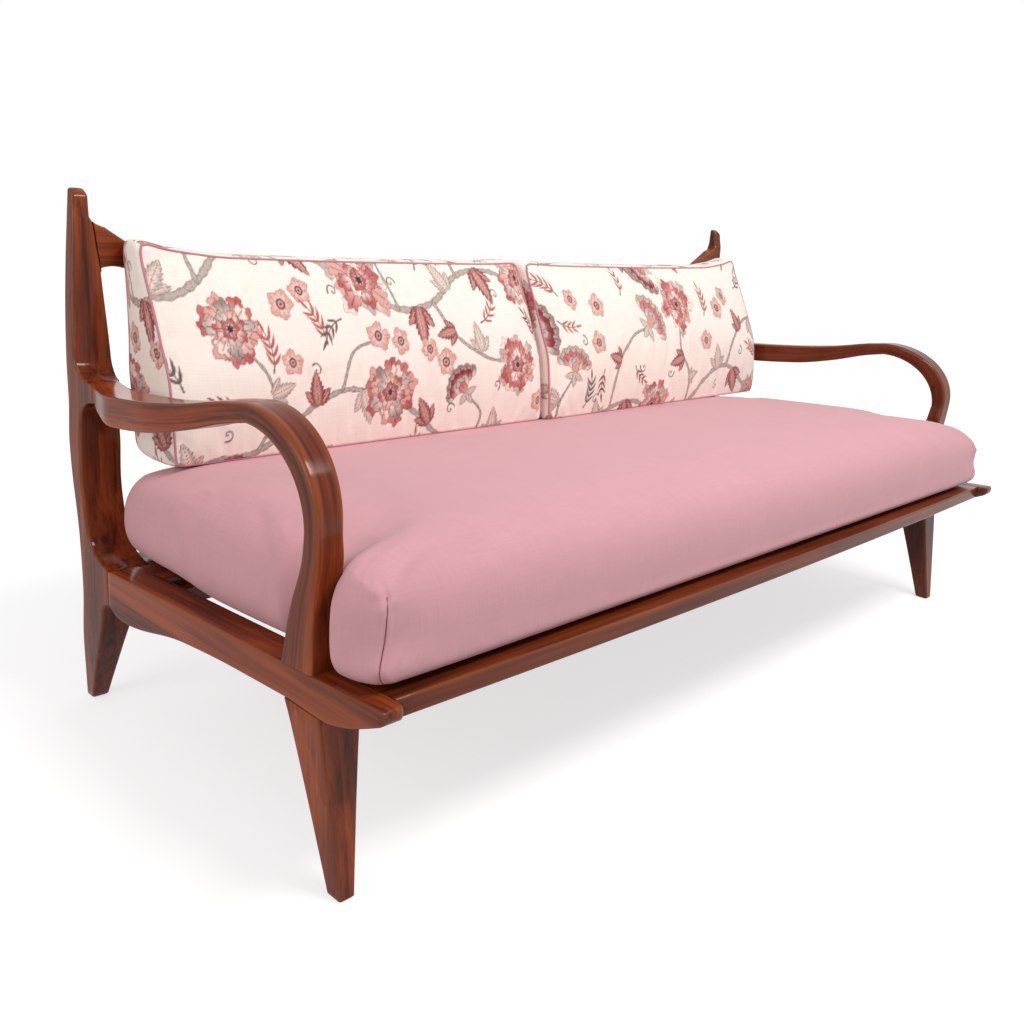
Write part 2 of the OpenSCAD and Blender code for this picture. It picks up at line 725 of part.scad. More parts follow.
module rear_cleat() {
    reach = rail_inner_x - glue;
    color(teak_dark)
        difference() {
            on_seat()
                translate([-reach, slat_back - cleat_size, cleat_top - cleat_size])
                    cube([2 * reach, 2 * cleat_size, cleat_size]);
            for (i = [1:seat_slats]) seat_slat_screws_of(i);
        }
}
module board_cleat(side) {
    color(teak_dark)
        on_seat()
            translate([side < 0 ? -rail_inner_x + glue : rail_inner_x - glue - cleat_size,
                       slat_back + cleat_size + glue, cleat_top - cleat_size])
                cube([cleat_size, board_cleat_length, cleat_size]);
}
module left_board_cleat() { board_cleat(-1); }
module right_board_cleat() { board_cleat(1); }

// The rear board fills the width between the side rails and is notched round the posts
module rear_seat_board() {
    wide = rail_inner_x - glue;
    narrow = half_length - post_width - glue;
    notch = (joint_y - front_y) / cos(seat_pitch) - 1;
    color(teak)
        on_seat()
            translate([0, 0, -seat_slat_thickness]) linear_extrude(seat_slat_thickness)
                polygon([
                    [-wide, slat_back + slat_gap], [wide, slat_back + slat_gap], [wide, notch],
                    [narrow, notch], [narrow, lower_rail_front], [-narrow, lower_rail_front],
                    [-narrow, notch], [-wide, notch]]);
}

seat_slat_span = 2 * (rail_inner_x - 76);
seat_slat_length = slat_back - front_rail_back - slat_gap;

function seat_slat_x(i) = -seat_slat_span / 2 + seat_slat_span * (i - 1) / (seat_slats - 1);

module seat_slat_screws_of(i) {
    on_seat()
        for (y = [front_rail_back + cleat_size / 2, slat_back - cleat_size / 2])
            translate([seat_slat_x(i), y, 0]) mirror([0, 0, 1]) wood_screw(seat_screw_length);
}
module seat_slat(i) {
    color(teak)
        difference() {
            on_seat()
                translate([seat_slat_x(i) - seat_slat_width / 2, front_rail_back + slat_gap,
                           -seat_slat_thickness])
                    cube([seat_slat_width, seat_slat_length, seat_slat_thickness]);
            seat_slat_screws_of(i);
        }
}

module seat_slat_screws() {
    color(brass) for (i = [1:seat_slats]) seat_slat_screws_of(i);
}
module back_slat_screws() {
    color(brass) for (i = [1:back_slats]) back_slat_screw(i);
}

// Cushions

// Closed outline from its half at +x, which runs from the front's middle to the back's
function both_halves(half) =
    concat(half, [for (i = [len(half) - 2:-1:1]) [-half[i][0], half[i][1]]]);

front_steps = 12;
rear_corner = 62;
seat_cushion_length = frame_length - 2 * seat_cushion_end;
seat_cushion_back = frame_depth - seat_cushion_rear;
seat_cushion_depth = seat_cushion_back - seat_cushion_front;

// Where the arm's foot presses into the cushion, back from the horn tips
press_front = arm_setback - 4;
press_back = arm_setback + arm_foot_length + 18;
// Run of the cushion's end that swells in front of the arm, and the widest corner beside it
press_lead = 38;
widest_corner = press_front - press_lead - seat_cushion_front - 6;
// Rounding of the front corners in plan: tight along the seam and soft above it
function front_corner(h) =
    min(widest_corner, curve([[0, 16], [0.5, 12], [0.66, 20], [0.8, 40], [1, 56]], h));
end_stations = concat(
    [for (s = [-1, -0.7, -0.42, -0.22, -0.08, 0]) press_front + press_lead * s],
    [press_back, press_back + 14, press_back + 34, press_back + 60],
    [for (s = [0.3, 0.5, 0.7, 0.88, 1]) mix(press_back + 10, seat_cushion_back - rear_corner, s)]);
press_depth = seat_cushion_length / 2 - (half_length - arm_foot_width) + 2 * cushion_gap + 1.9;
// How far the end is drawn in: it swells out on both sides of the arm
function end_draw(y) = curve([
    [seat_cushion_front, 21], [press_front - 52, 6], [press_front - 20, 0], [press_front - 8, 8],
    [press_front, press_depth], [press_back, press_depth], [press_back + 34, 19],
    [press_back + 140, 17], [seat_cushion_back - 180, 22], [seat_cushion_back, 36]], y);

// The cushion's section: how far the surface lies in from its widest line, at a share of
// the thickness, along the ends and along the front and back
cushion_levels = [0, 0.012, 0.07, 0.19, 0.36, 0.53, 0.67, 0.78, 0.865, 0.935, 0.978, 1];
function end_inset(h) = curve([
    [0, 76], [0.012, 54], [0.07, 28], [0.19, 8], [0.36, 0], [0.53, 1], [0.67, 8], [0.78, 20],
    [0.865, 42], [0.935, 86], [0.978, 160], [1, 250]], h);
function face_inset(h) = curve([
    [0, 20], [0.012, 11], [0.07, 4], [0.19, 0], [0.36, 0], [0.53, 3], [0.67, 11], [0.78, 25],
    [0.865, 48], [0.935, 90], [0.978, 160], [1, 240]], h);

// The end is full in front of the arm, where its corner is square, and rounder behind it
function end_lift(y, h) =
    h < 0.36 ? 0.55 * end_inset(h) * (1 - ease((y - press_front) / 110))
    : min(0.4 * end_inset(h), 16) * (1 - ease((y - press_front + 60) / 60));

function seat_cushion_ring(h) =
    let (
        a = seat_cushion_length / 2 - end_inset(h),
        y0 = seat_cushion_front + face_inset(h),
        y1 = seat_cushion_back - face_inset(h),
        r = front_corner(h),
        pressed = unit(1.75 - end_inset(h) / 50),
        half = concat(
            [for (i = [0:front_steps - 1]) [mix(0, a - r, i / front_steps), y0]],
            [for (s = [0:3]) [a - r * (1 - sin(30 * s)), y0 + r * (1 - cos(30 * s))]],
            [for (y = end_stations) [a, mix(y0 + r, y1 - rear_corner,
                (y - seat_cushion_front - r) / (seat_cushion_depth - r - rear_corner))]],
            [for (s = [1:4])
                [a - rear_corner * (1 - cos(22.5 * s)), y1 - rear_corner * (1 - sin(22.5 * s))]],
            [for (i = [1:front_steps]) [mix(a - rear_corner, 0, i / front_steps), y1]]))
    [for (p = both_halves(half))
        let (near_end = unit(1 - (a - abs(p[0])) / 140))
        [p[0] - sign(p[0]) * near_end * (pressed * end_draw(p[1]) - end_lift(p[1], h)), p[1],
         h * seat_cushion_thickness]];

module seat_cushion() {
    color(rose_linen)
        on_seat() translate([0, 0, cushion_gap])
            skin([for (h = cushion_levels) seat_cushion_ring(h)]);
}

// Height of the seat cushion's top under a back cushion, at a given y
function crown(u) =
    let (inset = seat_cushion_back - u)
    seat_cushion_thickness * curve([
        [0, 0.36], [4, 0.53], [13, 0.67], [26, 0.78], [48, 0.865], [90, 0.935], [160, 0.978],
        [240, 1]], inset);
function seat_top(y) =
    let (
        guess = (y - front_y - seat_cushion_thickness * sin(seat_pitch)) / cos(seat_pitch),
        u = (y - front_y - crown(guess) * sin(seat_pitch)) / cos(seat_pitch))
    rail_height - u * sin(seat_pitch) + (crown(u) + cushion_gap) * cos(seat_pitch);

// Back cushions: boxed, thick at the bottom, with the outer corner standing up
back_cushion_end = post_inner(arm_rear_height) - 16;
// Swell of its ends past the piping
back_cushion_swell = 6;
back_cushion_inner = back_cushion_swell + cushion_gap;
back_cushion_length = back_cushion_end - back_cushion_inner;
back_cushion_foot_y = back_y - back_cushion_reach;
back_cushion_foot_z = seat_top(back_cushion_foot_y - back_cushion_bottom / 2);
side_steps = 6;
top_steps = 14;

// Its middle plane and half its thickness at a given height over its foot
function cushion_middle(h) = back_cushion_foot_y + h * tan(back_cushion_lean) - 9 * sin(180 * unit(h / back_cushion_height));
function cushion_half(h) = curve([
    [0, back_cushion_bottom / 2 - 2], [40, back_cushion_bottom / 2],
    [120, back_cushion_bottom / 2], [back_cushion_height * 0.62, mix(back_cushion_top, back_cushion_bottom, 0.6) / 2],
    [back_cushion_height, back_cushion_top / 2], [back_cushion_height + 40, back_cushion_top / 2 - 3]], h);
// Rise of the top edge at a given way in from the cushion's outer end
function top_edge(d) = curve([
    [0, back_cushion_ear], [60, back_cushion_ear * 0.5], [160, back_cushion_ear * 0.12],
    [back_cushion_length / 2, 0], [back_cushion_length - 120, 1], [back_cushion_length, 5]], d);

// Outline of the cushion, x from the middle of its length and h over its foot
function cushion_outline(inset, r) =
    let (
        a = back_cushion_length / 2 - inset,
        top = back_cushion_height - inset)
    concat(
        [for (i = [0:top_steps - 1]) [mix(-a + r, a - r, i / top_steps), inset]],
        [for (s = [0:2]) [a - r + r * sin(30 * s), inset + r - r * cos(30 * s)]],
        [for (i = [0:side_steps - 1]) [a, mix(inset + r, top - r, i / side_steps)]],
        [for (s = [0:2]) [a - r + r * cos(30 * s), top - r + r * sin(30 * s)]],
        [for (i = [0:top_steps - 1]) [mix(a - r, -a + r, i / top_steps), top]],
        [for (s = [0:2]) [-a + r - r * sin(30 * s), top - r + r * cos(30 * s)]],
        [for (i = [0:side_steps - 1]) [-a, mix(top - r, inset + r, i / side_steps)]],
        [for (s = [0:2]) [-a + r - r * cos(30 * s), inset + r - r * sin(30 * s)]]);

// Ring at a share of the thickness, from -1 at the back to 1 at the front, with its face
// puffed out; the cushion's own x runs from its inner end to its outer end. The front of the
// outer end may spread past the post, and the whole cushion may sit further forward
function back_cushion_ring(inset, share, puff, spread, lead, r = 16) =
    [for (p = cushion_outline(inset, r))
        let (
            d = back_cushion_length / 2 - p[0],
            up = unit(p[1] / back_cushion_height),
            h = p[1] + up * top_edge(d),
            inward = 14 * unit(d / back_cushion_length),
            y = cushion_middle(h) - share * (cushion_half(h) + inward / 2) - inward / 2 - puff - lead,
            z = back_cushion_foot_z + h,
            wide = spread * unit((share + 0.2) / 1.2) * unit(1 - d / 90) * sin(180 * up))
        [p[0] + wide, y, p[1] < 40 ? max(z, seat_top(y) + 0.2) : z]];

// Its rings from the middle of its back to the middle of its face: inset, share and puff
back_cushion_sections = [
    [126, -1, -13], [70, -1, -11], [30, -1, -6], [8, -1, -2], [0, -0.92, 0],
    [-back_cushion_swell * 0.7, -0.5, 0], [-back_cushion_swell, 0, 0],
    [-back_cushion_swell * 0.7, 0.5, 0], [0, 0.92, 0], [8, 1, 2], [30, 1, 9], [70, 1, 15],
    [126, 1, 18]];

module back_cushion(side) {
    spread = side > 0 ? right_cushion_spread : 0;
    lead = side > 0 ? right_cushion_lead : 0;
    color(cream_jacquard)
        translate([back_cushion_shift, 0, 0])
            mirrored(side > 0 ? -1 : 1) translate([back_cushion_length / 2 + back_cushion_inner, 0, 0])
                skin([for (c = back_cushion_sections) back_cushion_ring(c[0], c[1], c[2], spread, lead)]);
}
module left_back_cushion() { back_cushion(-1); }
module right_back_cushion() { back_cushion(1); }

left_post();
right_post();
left_side_rail();
right_side_rail();
left_front_leg();
right_front_leg();
left_armrest();
right_armrest();
left_arm_support();
right_arm_support();
crest_rail();
lower_back_rail();
front_rail();
front_apron();
rear_seat_board();
front_cleat();
rear_cleat();
left_board_cleat();
right_board_cleat();
for (i = [1:back_slats]) back_slat(i);
for (i = [1:seat_slats]) seat_slat(i);
seat_slat_screws();
back_slat_screws();
arm_dowels();
leg_dowels();
seat_cushion();
left_back_cushion();
right_back_cushion();
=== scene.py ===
"""Long teak sofa: sculpted end frames, slatted back, linen seat cushion and two printed
back cushions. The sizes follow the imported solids; here they are drawn finer and dressed."""
import math

import bpy
import numpy as np
from bpy.props import FloatProperty, FloatVectorProperty, PointerProperty
from mathutils import Matrix, Vector


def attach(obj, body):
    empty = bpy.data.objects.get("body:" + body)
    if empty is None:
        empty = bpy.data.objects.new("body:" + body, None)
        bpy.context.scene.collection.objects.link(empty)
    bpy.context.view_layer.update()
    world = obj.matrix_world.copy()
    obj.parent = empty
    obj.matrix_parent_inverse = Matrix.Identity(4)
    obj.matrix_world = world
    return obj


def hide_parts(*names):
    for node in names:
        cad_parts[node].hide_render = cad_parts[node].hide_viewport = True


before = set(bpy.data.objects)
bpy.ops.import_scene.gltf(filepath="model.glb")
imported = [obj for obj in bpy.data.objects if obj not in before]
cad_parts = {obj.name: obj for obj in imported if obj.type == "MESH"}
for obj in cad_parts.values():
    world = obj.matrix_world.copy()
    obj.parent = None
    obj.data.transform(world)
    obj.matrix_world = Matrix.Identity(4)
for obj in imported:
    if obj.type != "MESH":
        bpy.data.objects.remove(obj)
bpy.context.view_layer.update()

bl_info = {
    "name": "Teak Sofa",
    "version": (1, 0, 0),
    "blender": (4, 5, 0),
    "location": "3D View > Sidebar > Sofa",
    "description": "Makes the sculpted teak frame, the linen seat cushion and the printed back cushions",
    "category": "Add Mesh",
}

MM = 0.001
FRAMES = 18          # of each cloth simulation


def srgb(code):
    """Linear colour of a hexadecimal sRGB code."""
    c = np.array([int(code[i:i + 2], 16) for i in (0, 2, 4)]) / 255
    return np.where(c <= 0.04045, c / 12.92, ((c + 0.055) / 1.055) ** 2.4)


# ---------------------------------------------------------------- sizes and colours

def metres(label, text, value):
    """Property for a length."""
    return FloatProperty(name=label, description=text, default=value, unit="LENGTH")


def slope(label, text, degrees):
    """Property for an angle."""
    return FloatProperty(name=label, description=text, default=math.radians(degrees), subtype="ANGLE")


def paint(label, text, code):
    """Property for a colour."""
    return FloatVectorProperty(name=label, description=text, default=tuple(srgb(code)), size=3,
                               subtype="COLOR")


class SOFA_PG_frame(bpy.types.PropertyGroup):
    """Sizes of the teak frame."""
    length: metres("Length", "Over the outer faces of the end frames", 1.9)
    depth: metres("Depth", "From the horn tips to the backs of the posts", 0.81)
    post_height: metres("Post Height", "Height of the back posts", 0.852)
    rail_height: metres("Rail Height", "Top of the side rails at the horn tips", 0.302)
    arm_height: metres("Arm Height", "Crest of the arms", 0.603)
    seat_pitch: slope("Seat Pitch", "Fall of the seat towards the back", 3)
    arris: metres("Arris", "Rounding of the wooden edges", 0.0045)


class SOFA_PG_cushions(bpy.types.PropertyGroup):
    """Sizes of the cushions."""
    seat_length: metres("Seat Length", "Seat cushion in front of the arms", 1.88)
    seat_depth: metres("Seat Depth", "Seat cushion, front to back", 0.712)
    seat_thickness: metres("Seat Thickness", "Seat cushion at its crown", 0.172)
    back_height: metres("Back Height", "Back cushion in its middle", 0.314)
    back_lean: slope("Back Lean", "Lean of the back cushions", 12)
    piping: metres("Piping", "Thickness of the piping", 0.0044)
    puff: metres("Puff", "Most that a back cushion swells while it is filled", 0.011)
    seat_puff: metres("Seat Puff", "Most that the seat cushion swells while it is filled", 0.005)


class SOFA_PG_finish(bpy.types.PropertyGroup):
    """Colours of the wood and the cloths."""
    teak_light: paint("Teak, Light", "Light streaks of the wood", "a64c22")
    teak_dark: paint("Teak, Dark", "Dark streaks of the wood", "40110a")
    linen: paint("Linen", "Seat cushion's cloth", "d69fa6")
    ground: paint("Ground", "Ground of the printed cloth", "fdf1e7")
    welt: paint("Piping", "Rose piping of the back cushions", "c98891")
    # The seam's colour, darker than the linen, is painted shade of the crease along the corner seam.
    seam: paint("Seam", "Seam in the seat cushion's corners", "8c4a52")
    floor_shade: FloatProperty(name="Floor Shade", description="Share of the floor that takes shadow",
                               default=0.5, subtype="FACTOR")


# ---------------------------------------------------------------- shared formulas, in millimetres

def curve(knots, t):
    """Cubic through knots (place, value) whose slope at a knot is the harmonic mean of the two
    rises beside it, or nothing where they differ in sign, so that it never overshoots."""
    x, y = np.array(knots, float).T
    h = np.diff(x)
    r = np.diff(y) / h
    m = np.concatenate([r[:1], np.zeros(len(x) - 2), r[-1:]])
    same = r[:-1] * r[1:] > 0
    m[1:-1][same] = (2 * r[:-1] * r[1:])[same] / (r[:-1] + r[1:])[same]
    t = np.clip(np.asarray(t, float), x[0], x[-1])
    i = np.clip(np.searchsorted(x, t, "right") - 1, 0, len(h) - 1)
    s = (t - x[i]) / h[i]
    return (y[i] * (1 + 2 * s) * (1 - s) ** 2 + m[i] * h[i] * s * (1 - s) ** 2
            + y[i + 1] * s * s * (3 - 2 * s) - m[i + 1] * h[i] * s * s * (1 - s))


def mix(a, b, t):
    """Straight blend from a to b."""
    return a + (b - a) * t


def ease(t):
    """Smooth step: 3t^2 - 2t^3 between 0 and 1."""
    s = np.clip(t, 0, 1)
    return s * s * (3 - 2 * s)


def bell(t):
    """1 at t = 0, falling off on both sides."""
    return np.exp(-t * t)


def hollow(t):
    """Hollow quarter round: 1 at t = 0 and 0, level, at t = 1."""
    s = np.clip(t, 0, 1)
    return 1 - np.sqrt(1 - (1 - s) ** 2)


def finer(stations, parts):
    """Stations with each step between two of them cut into equal parts."""
    s = np.array(stations, float)
    cut = s[:-1, None] + np.diff(s)[:, None] * np.arange(parts) / parts
    return np.append(cut.ravel(), s[-1])


CORNER = 6
EDGE = (0.08, 0.3, 0.5, 0.7, 0.92)


def rounded(a0, a1, b0, b1, r):
    """Rings of rounded rectangles, one for each row of the arrays: quarter circles of radius r
    about the corners, from the +,+ one on, with points along the straight sides between."""
    rows = np.broadcast_arrays(*map(np.atleast_1d, (a0, a1, b0, b1, r)))
    a0, a1, b0, b1, r = (v[:, None, None] for v in rows)
    q = np.minimum(r, np.minimum(a1 - a0, b1 - b0) / 2.01)
    c = np.arange(4)[:, None]
    turn = np.radians(90 * c + 90 * np.arange(CORNER + 1) / CORNER)
    a = np.where((c == 0) | (c == 3), a1 - q, a0 + q) + q * np.cos(turn)
    b = np.where(c < 2, b1 - q, b0 + q) + q * np.sin(turn)
    p = np.stack([a, b], -1)
    nxt = np.roll(p[:, :, :1], -1, axis=1)
    w = np.array(EDGE)[:, None]
    p = np.concatenate([p, p[:, :, -1:] * (1 - w) + nxt * w], axis=2)
    return p.reshape(len(p), -1, 2)


def arris_mask():
    """1 on a ring's rounded corners and 0 on its flat sides: it places the wood's painted edge highlight."""
    one = np.concatenate([np.sin(np.linspace(0, np.pi, CORNER + 1)) * 0.6 + 0.4, np.zeros(len(EDGE))])
    one[CORNER + 1] = one[-1] = 0.15
    return np.tile(one, 4)


# ---------------------------------------------------------------- meshes

def new_piece(name, verts, quads, body, material, sharp=0):
    """Closed mesh from points in metres and quads, turned outwards if the volume under it comes
    out negative, smooth but for edges sharper than the given angle."""
    verts = np.ascontiguousarray(verts, np.float32)
    a, b, c, d = (verts[quads[:, i]].astype(float) for i in range(4))
    if (a * (np.cross(b, c) + np.cross(c, d))).sum() < 0:
        quads = quads[:, ::-1]
    mesh = bpy.data.meshes.new(name)
    mesh.vertices.add(len(verts))
    mesh.vertices.foreach_set("co", verts.ravel())
    mesh.loops.add(quads.size)
    mesh.loops.foreach_set("vertex_index", np.ascontiguousarray(quads, np.int32).ravel())
    mesh.polygons.add(len(quads))
    mesh.polygons.foreach_set("loop_start", np.arange(0, quads.size, 4, dtype=np.int32))
    mesh.update(calc_edges=True)
    if mesh.validate():
        raise RuntimeError(f"{name}: the mesh has a faulty face")
    mesh.shade_smooth()
    if sharp:
        mesh.set_sharp_from_angle(angle=math.radians(sharp))
    piece = bpy.data.objects.new(name, mesh)
    bpy.context.scene.collection.objects.link(piece)
    mesh.materials.append(material)
    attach(piece, body)
    return piece


def skin(rows, m, closed=False):
    """Quads between rows of m points that run round. Unless the rows close on themselves, quads
    from side to side also cover the first and the last row."""
    i, j = np.meshgrid(np.arange(rows if closed else rows - 1), np.arange(m), indexing="ij")
    here, on, turn = i * m, (i + 1) % rows * m, (j + 1) % m
    quads = np.stack([here + j, here + turn, on + turn, on + j], -1).reshape(-1, 4)
    if closed:
        return quads
    k = np.arange(m // 2 - 1)
    cap = np.stack([k, k + 1, m - 2 - k, m - 1 - k], -1)
    return np.concatenate([quads, cap[:, ::-1], cap + (rows - 1) * m])


def loft(node, suffix, rings, material, ease_by=0.7, start=0.0):
    """Wooden piece in place of a node: a skin through rounded rectangles, in millimetres. Each
    end is a slightly smaller copy of its ring, which eases the edge of the joint. The grain
    attribute holds the length run along the rings' middles from the start, then the two offsets
    from that line, in metres, so that the figure can bend with the piece."""

    def end(ring, inner):
        middle = ring.mean(0)
        off, step = ring - middle, inner - ring
        back = np.clip(2.4 * ease_by ** 2 / np.linalg.norm(step, axis=1), 0, 0.4)[:, None]
        return [ring + step * back, middle + off * (1 - ease_by / np.linalg.norm(off, axis=1))[:, None]]

    rings = np.concatenate([end(rings[0], rings[1])[::-1], rings[1:-1], end(rings[-1], rings[-2])])
    n, m = rings.shape[:2]
    piece = new_piece(f"{node}_{suffix}", rings.reshape(-1, 3) * MM, skin(n, m), "frame", material, 40)
    middle = rings.mean(1)
    run = start + np.append(0, np.cumsum(np.linalg.norm(np.diff(middle, axis=0), axis=1)))
    ahead = np.gradient(middle, axis=0)
    ahead /= np.linalg.norm(ahead, axis=1)[:, None]
    up = np.cross(ahead, [1.0, 0, 0])
    off = rings - middle[:, None]
    grain = np.stack([run[:, None] + (off * ahead[:, None]).sum(-1), off[..., 0],
                      (off * up[:, None]).sum(-1)], -1) * MM
    # The arris attribute carries where the painted edge highlight lies; grain carries the figure's
    # coordinates.
    for key, kind, part, values in (("arris", "FLOAT", "value", np.tile(arris_mask(), n)),
                                    ("grain", "FLOAT_VECTOR", "vector", grain)):
        layer = piece.data.attributes.new(key, kind, "POINT")
        layer.data.foreach_set(part, values.astype(np.float32).ravel())
    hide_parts(node)


def tube(points, radius, sides, closed):
    """Tube along a path, closed on itself or with flat ends: circles square to the path, whose
    radius may change along it."""
    p = np.asarray(points, float)
    if closed:
        t = np.roll(p, -1, 0) - np.roll(p, 1, 0)
        aside = np.cross(p - p.mean(0), t)
    else:
        t = np.gradient(p, axis=0)
        aside = (0.31, 0.52, 0.79)
    t /= np.linalg.norm(t, axis=1)[:, None]
    n = np.cross(t, aside)
    n /= np.linalg.norm(n, axis=1)[:, None]
    b = np.cross(t, n)
    turn = np.arange(sides)[:, None] * 2 * np.pi / sides
    r = np.broadcast_to(radius, len(p))[:, None, None]
    rings = p[:, None] + r * (n[:, None] * np.cos(turn) + b[:, None] * np.sin(turn))
    return rings.reshape(-1, 3), skin(len(p), sides, closed)


# ---------------------------------------------------------------- materials

def feed(socket, value):
    """Gives an input a wire, or else a value of its own."""
    if isinstance(value, bpy.types.NodeSocket):
        socket.id_data.links.new(value, socket)
    else:
        socket.default_value = value


def put(node, *first, **named):
    """Sets a node's properties, whose names are in small letters, and feeds its inputs: the
    first ones in order, others by name, where underscores stand for spaces."""
    for key in [key for key in named if key.islower()]:
        setattr(node, key, named.pop(key))
    for socket, value in zip(node.inputs, first):
        feed(socket, value)
    for key, value in named.items():
        feed(node.inputs[key.replace("_", " ")], value)
    return node


def add(tree, kind, *first, **named):
    """New node, fed and set."""
    return put(tree.nodes.new("ShaderNode" + kind), *first, **named)


def total(tree, start, *parts):
    """Wire with the start plus each part times its weight; each of these is a wire or a number."""
    for part, weight in parts:
        start = add(tree, "Math", part, weight, start, operation="MULTIPLY_ADD").outputs[0]
    return start


def mix_node(tree, factor, a, b):
    """Colour between a and b, which are wires or colours."""
    node = add(tree, "Mix", factor, data_type="RGBA")
    for socket, value in zip(node.inputs[6:8], (a, b)):
        feed(socket, value if isinstance(value, bpy.types.NodeSocket) else (*value, 1))
    return node.outputs[2]


def stretched_noise(tree, vector, stretch, scale, detail=3.0, rough=0.55):
    """Noise whose cells are drawn out by three scales."""
    place = add(tree, "Mapping", vector, Scale=stretch).outputs[0]
    return add(tree, "TexNoise", place, Scale=scale, Detail=detail, Roughness=rough).outputs["Fac"]


def ramp(tree, value, low, high):
    """Smooth step of a value from low to high."""
    return add(tree, "MapRange", value, low, high, interpolation_type="SMOOTHSTEP").outputs["Result"]


def node_group(name, inputs, outputs):
    """Empty shader group whose sockets are given as label: type."""
    group = bpy.data.node_groups.new(name, "ShaderNodeTree")
    for direction, sockets in (("INPUT", inputs), ("OUTPUT", outputs)):
        for label, kind in sockets.items():
            group.interface.new_socket(label, in_out=direction, socket_type="NodeSocket" + kind)
    return group, group.nodes.new("NodeGroupInput").outputs, group.nodes.new("NodeGroupOutput")


def wood_figure():
    """Group for straight-grained polished teak whose grain runs along X: broad streaks, rings that wander,
    dark mineral lines and fine pores, with a painted highlight that makes the rounded arrises a little
    lighter."""
    group, given, out = node_group(
        "Teak Figure", {"Vector": "Vector", "Light": "Color", "Dark": "Color", "Wear": "Float"},
        {"Colour": "Color", "Roughness": "Float", "Height": "Float"})
    vector = given["Vector"]
    broad = stretched_noise(group, vector, (1.1, 9, 9), 2.2, 4.0)
    streak = stretched_noise(group, vector, (1.6, 60, 60), 2.0, 4.0, 0.6)
    place = add(group, "Mapping", vector, Scale=(0.9, 10, 10)).outputs[0]
    rings = add(group, "TexWave", place, wave_type="RINGS", rings_direction="X", wave_profile="SAW",
                Scale=1.2, Distortion=5.0, Detail=3.0, Detail_Scale=0.8).outputs["Fac"]
    vein = ramp(group, stretched_noise(group, vector, (0.8, 34, 34), 1.7, 5.0, 0.65), 0.55, 0.66)
    pores = ramp(group, stretched_noise(group, vector, (5, 330, 330), 1.6, 2.0), 0.55, 0.75)
    base = total(group, 0.0, (ramp(group, broad, 0.36, 0.64), 0.46), (rings, 0.2),
                 (ramp(group, streak, 0.3, 0.72), 0.38))
    colour = mix_node(group, base, given["Dark"], given["Light"])
    # The last mask lays a painted highlight of a8663f along the rounded arrises.
    for mask, share, code in ((vein, 0.6, "260a06"), (pores, 0.35, "3a150d"), (given["Wear"], 0.2, "a8663f")):
        colour = mix_node(group, total(group, 0.0, (mask, share)), colour, srgb(code))
    put(out, Colour=colour, Roughness=total(group, 0.16, (broad, 0.14), (pores, 0.1)),
        Height=total(group, 0.0, (streak, 0.3), (pores, -0.5)))


def cloth_weave():
    """Group for a plain weave on a vector in metres: threads that thicken and thin along X and
    across it, which also stand up a little, and a faint cloud over the whole cloth."""
    group, given, out = node_group("Plain Weave", {"Vector": "Vector", "Colour": "Color", "Slub": "Float"},
                                   {"Colour": "Color", "Height": "Float"})
    along = stretched_noise(group, given["Vector"], (14, 420, 420), 1.4, 2.0)
    across = stretched_noise(group, given["Vector"], (420, 14, 14), 1.4, 2.0)
    cloud = stretched_noise(group, given["Vector"], (1, 1, 1), 9.0, 3.0)
    uneven = total(group, -1.0, (along, 1.0), (across, 1.0))
    light = total(group, 1 - 0.5 * 0.09, (uneven, given["Slub"]), (cloud, 0.09))
    shaded = add(group, "VectorMath", given["Colour"], Scale=light, operation="SCALE").outputs[0]
    put(out, Colour=shaded, Height=total(group, 0.8, (uneven, 0.8)))


def place_group(tree, name, **values):
    """Outputs of a group placed in a material."""
    node = tree.nodes.new("ShaderNodeGroup")
    node.node_tree = bpy.data.node_groups[name]
    return put(node, **values).outputs


def bump(tree, height, strength, distance):
    """Normal from a height."""
    return add(tree, "Bump", Strength=strength, Distance=distance, Height=height).outputs[0]


def new_material(name):
    """Material with its Principled shader."""
    material = bpy.data.materials.new(name)
    material.use_nodes = True
    return material, material.node_tree, material.node_tree.nodes["Principled BSDF"]


def plain_rays(tree):
    """1 on the rays of the camera and of reflections and glass, which see a white studio."""
    seen = 0.0
    for ray in ("Camera", "Glossy", "Transmission"):
        path = add(tree, "LightPath").outputs[f"Is {ray} Ray"]
        seen = add(tree, "Math", path, seen, operation="MAXIMUM").outputs[0]
    return seen


def teak(name, finish, along, shift, tone=1.0):
    """Polished teak whose grain runs along the given axis of the piece, or along its path."""
    material, tree, shader = new_material(name)
    if along == "path":
        source = add(tree, "Attribute", attribute_name="grain").outputs["Vector"]
    else:
        source = add(tree, "TexCoord").outputs["Object"]
    turn = {"y": (0, 0, math.pi / 2), "z": (0, math.pi / 2, 0)}.get(along, (0, 0, 0))
    dark, light = ((*(c * tone for c in shade), 1) for shade in (finish.teak_dark, finish.teak_light))
    # The arris attribute feeds the figure's painted highlight along the rounded edges.
    figure = place_group(tree, "Teak Figure", Vector=add(tree, "Mapping", source, shift, turn).outputs[0],
                         Light=light, Dark=dark,
                         Wear=add(tree, "Attribute", attribute_name="arris").outputs["Fac"])
    put(shader, Base_Color=figure["Colour"], Roughness=figure["Roughness"],
        Normal=bump(tree, figure["Height"], 0.12, 0.0006),
        Specular_IOR_Level=0.01, Coat_Weight=0.42, Coat_Roughness=0.13)
    return material


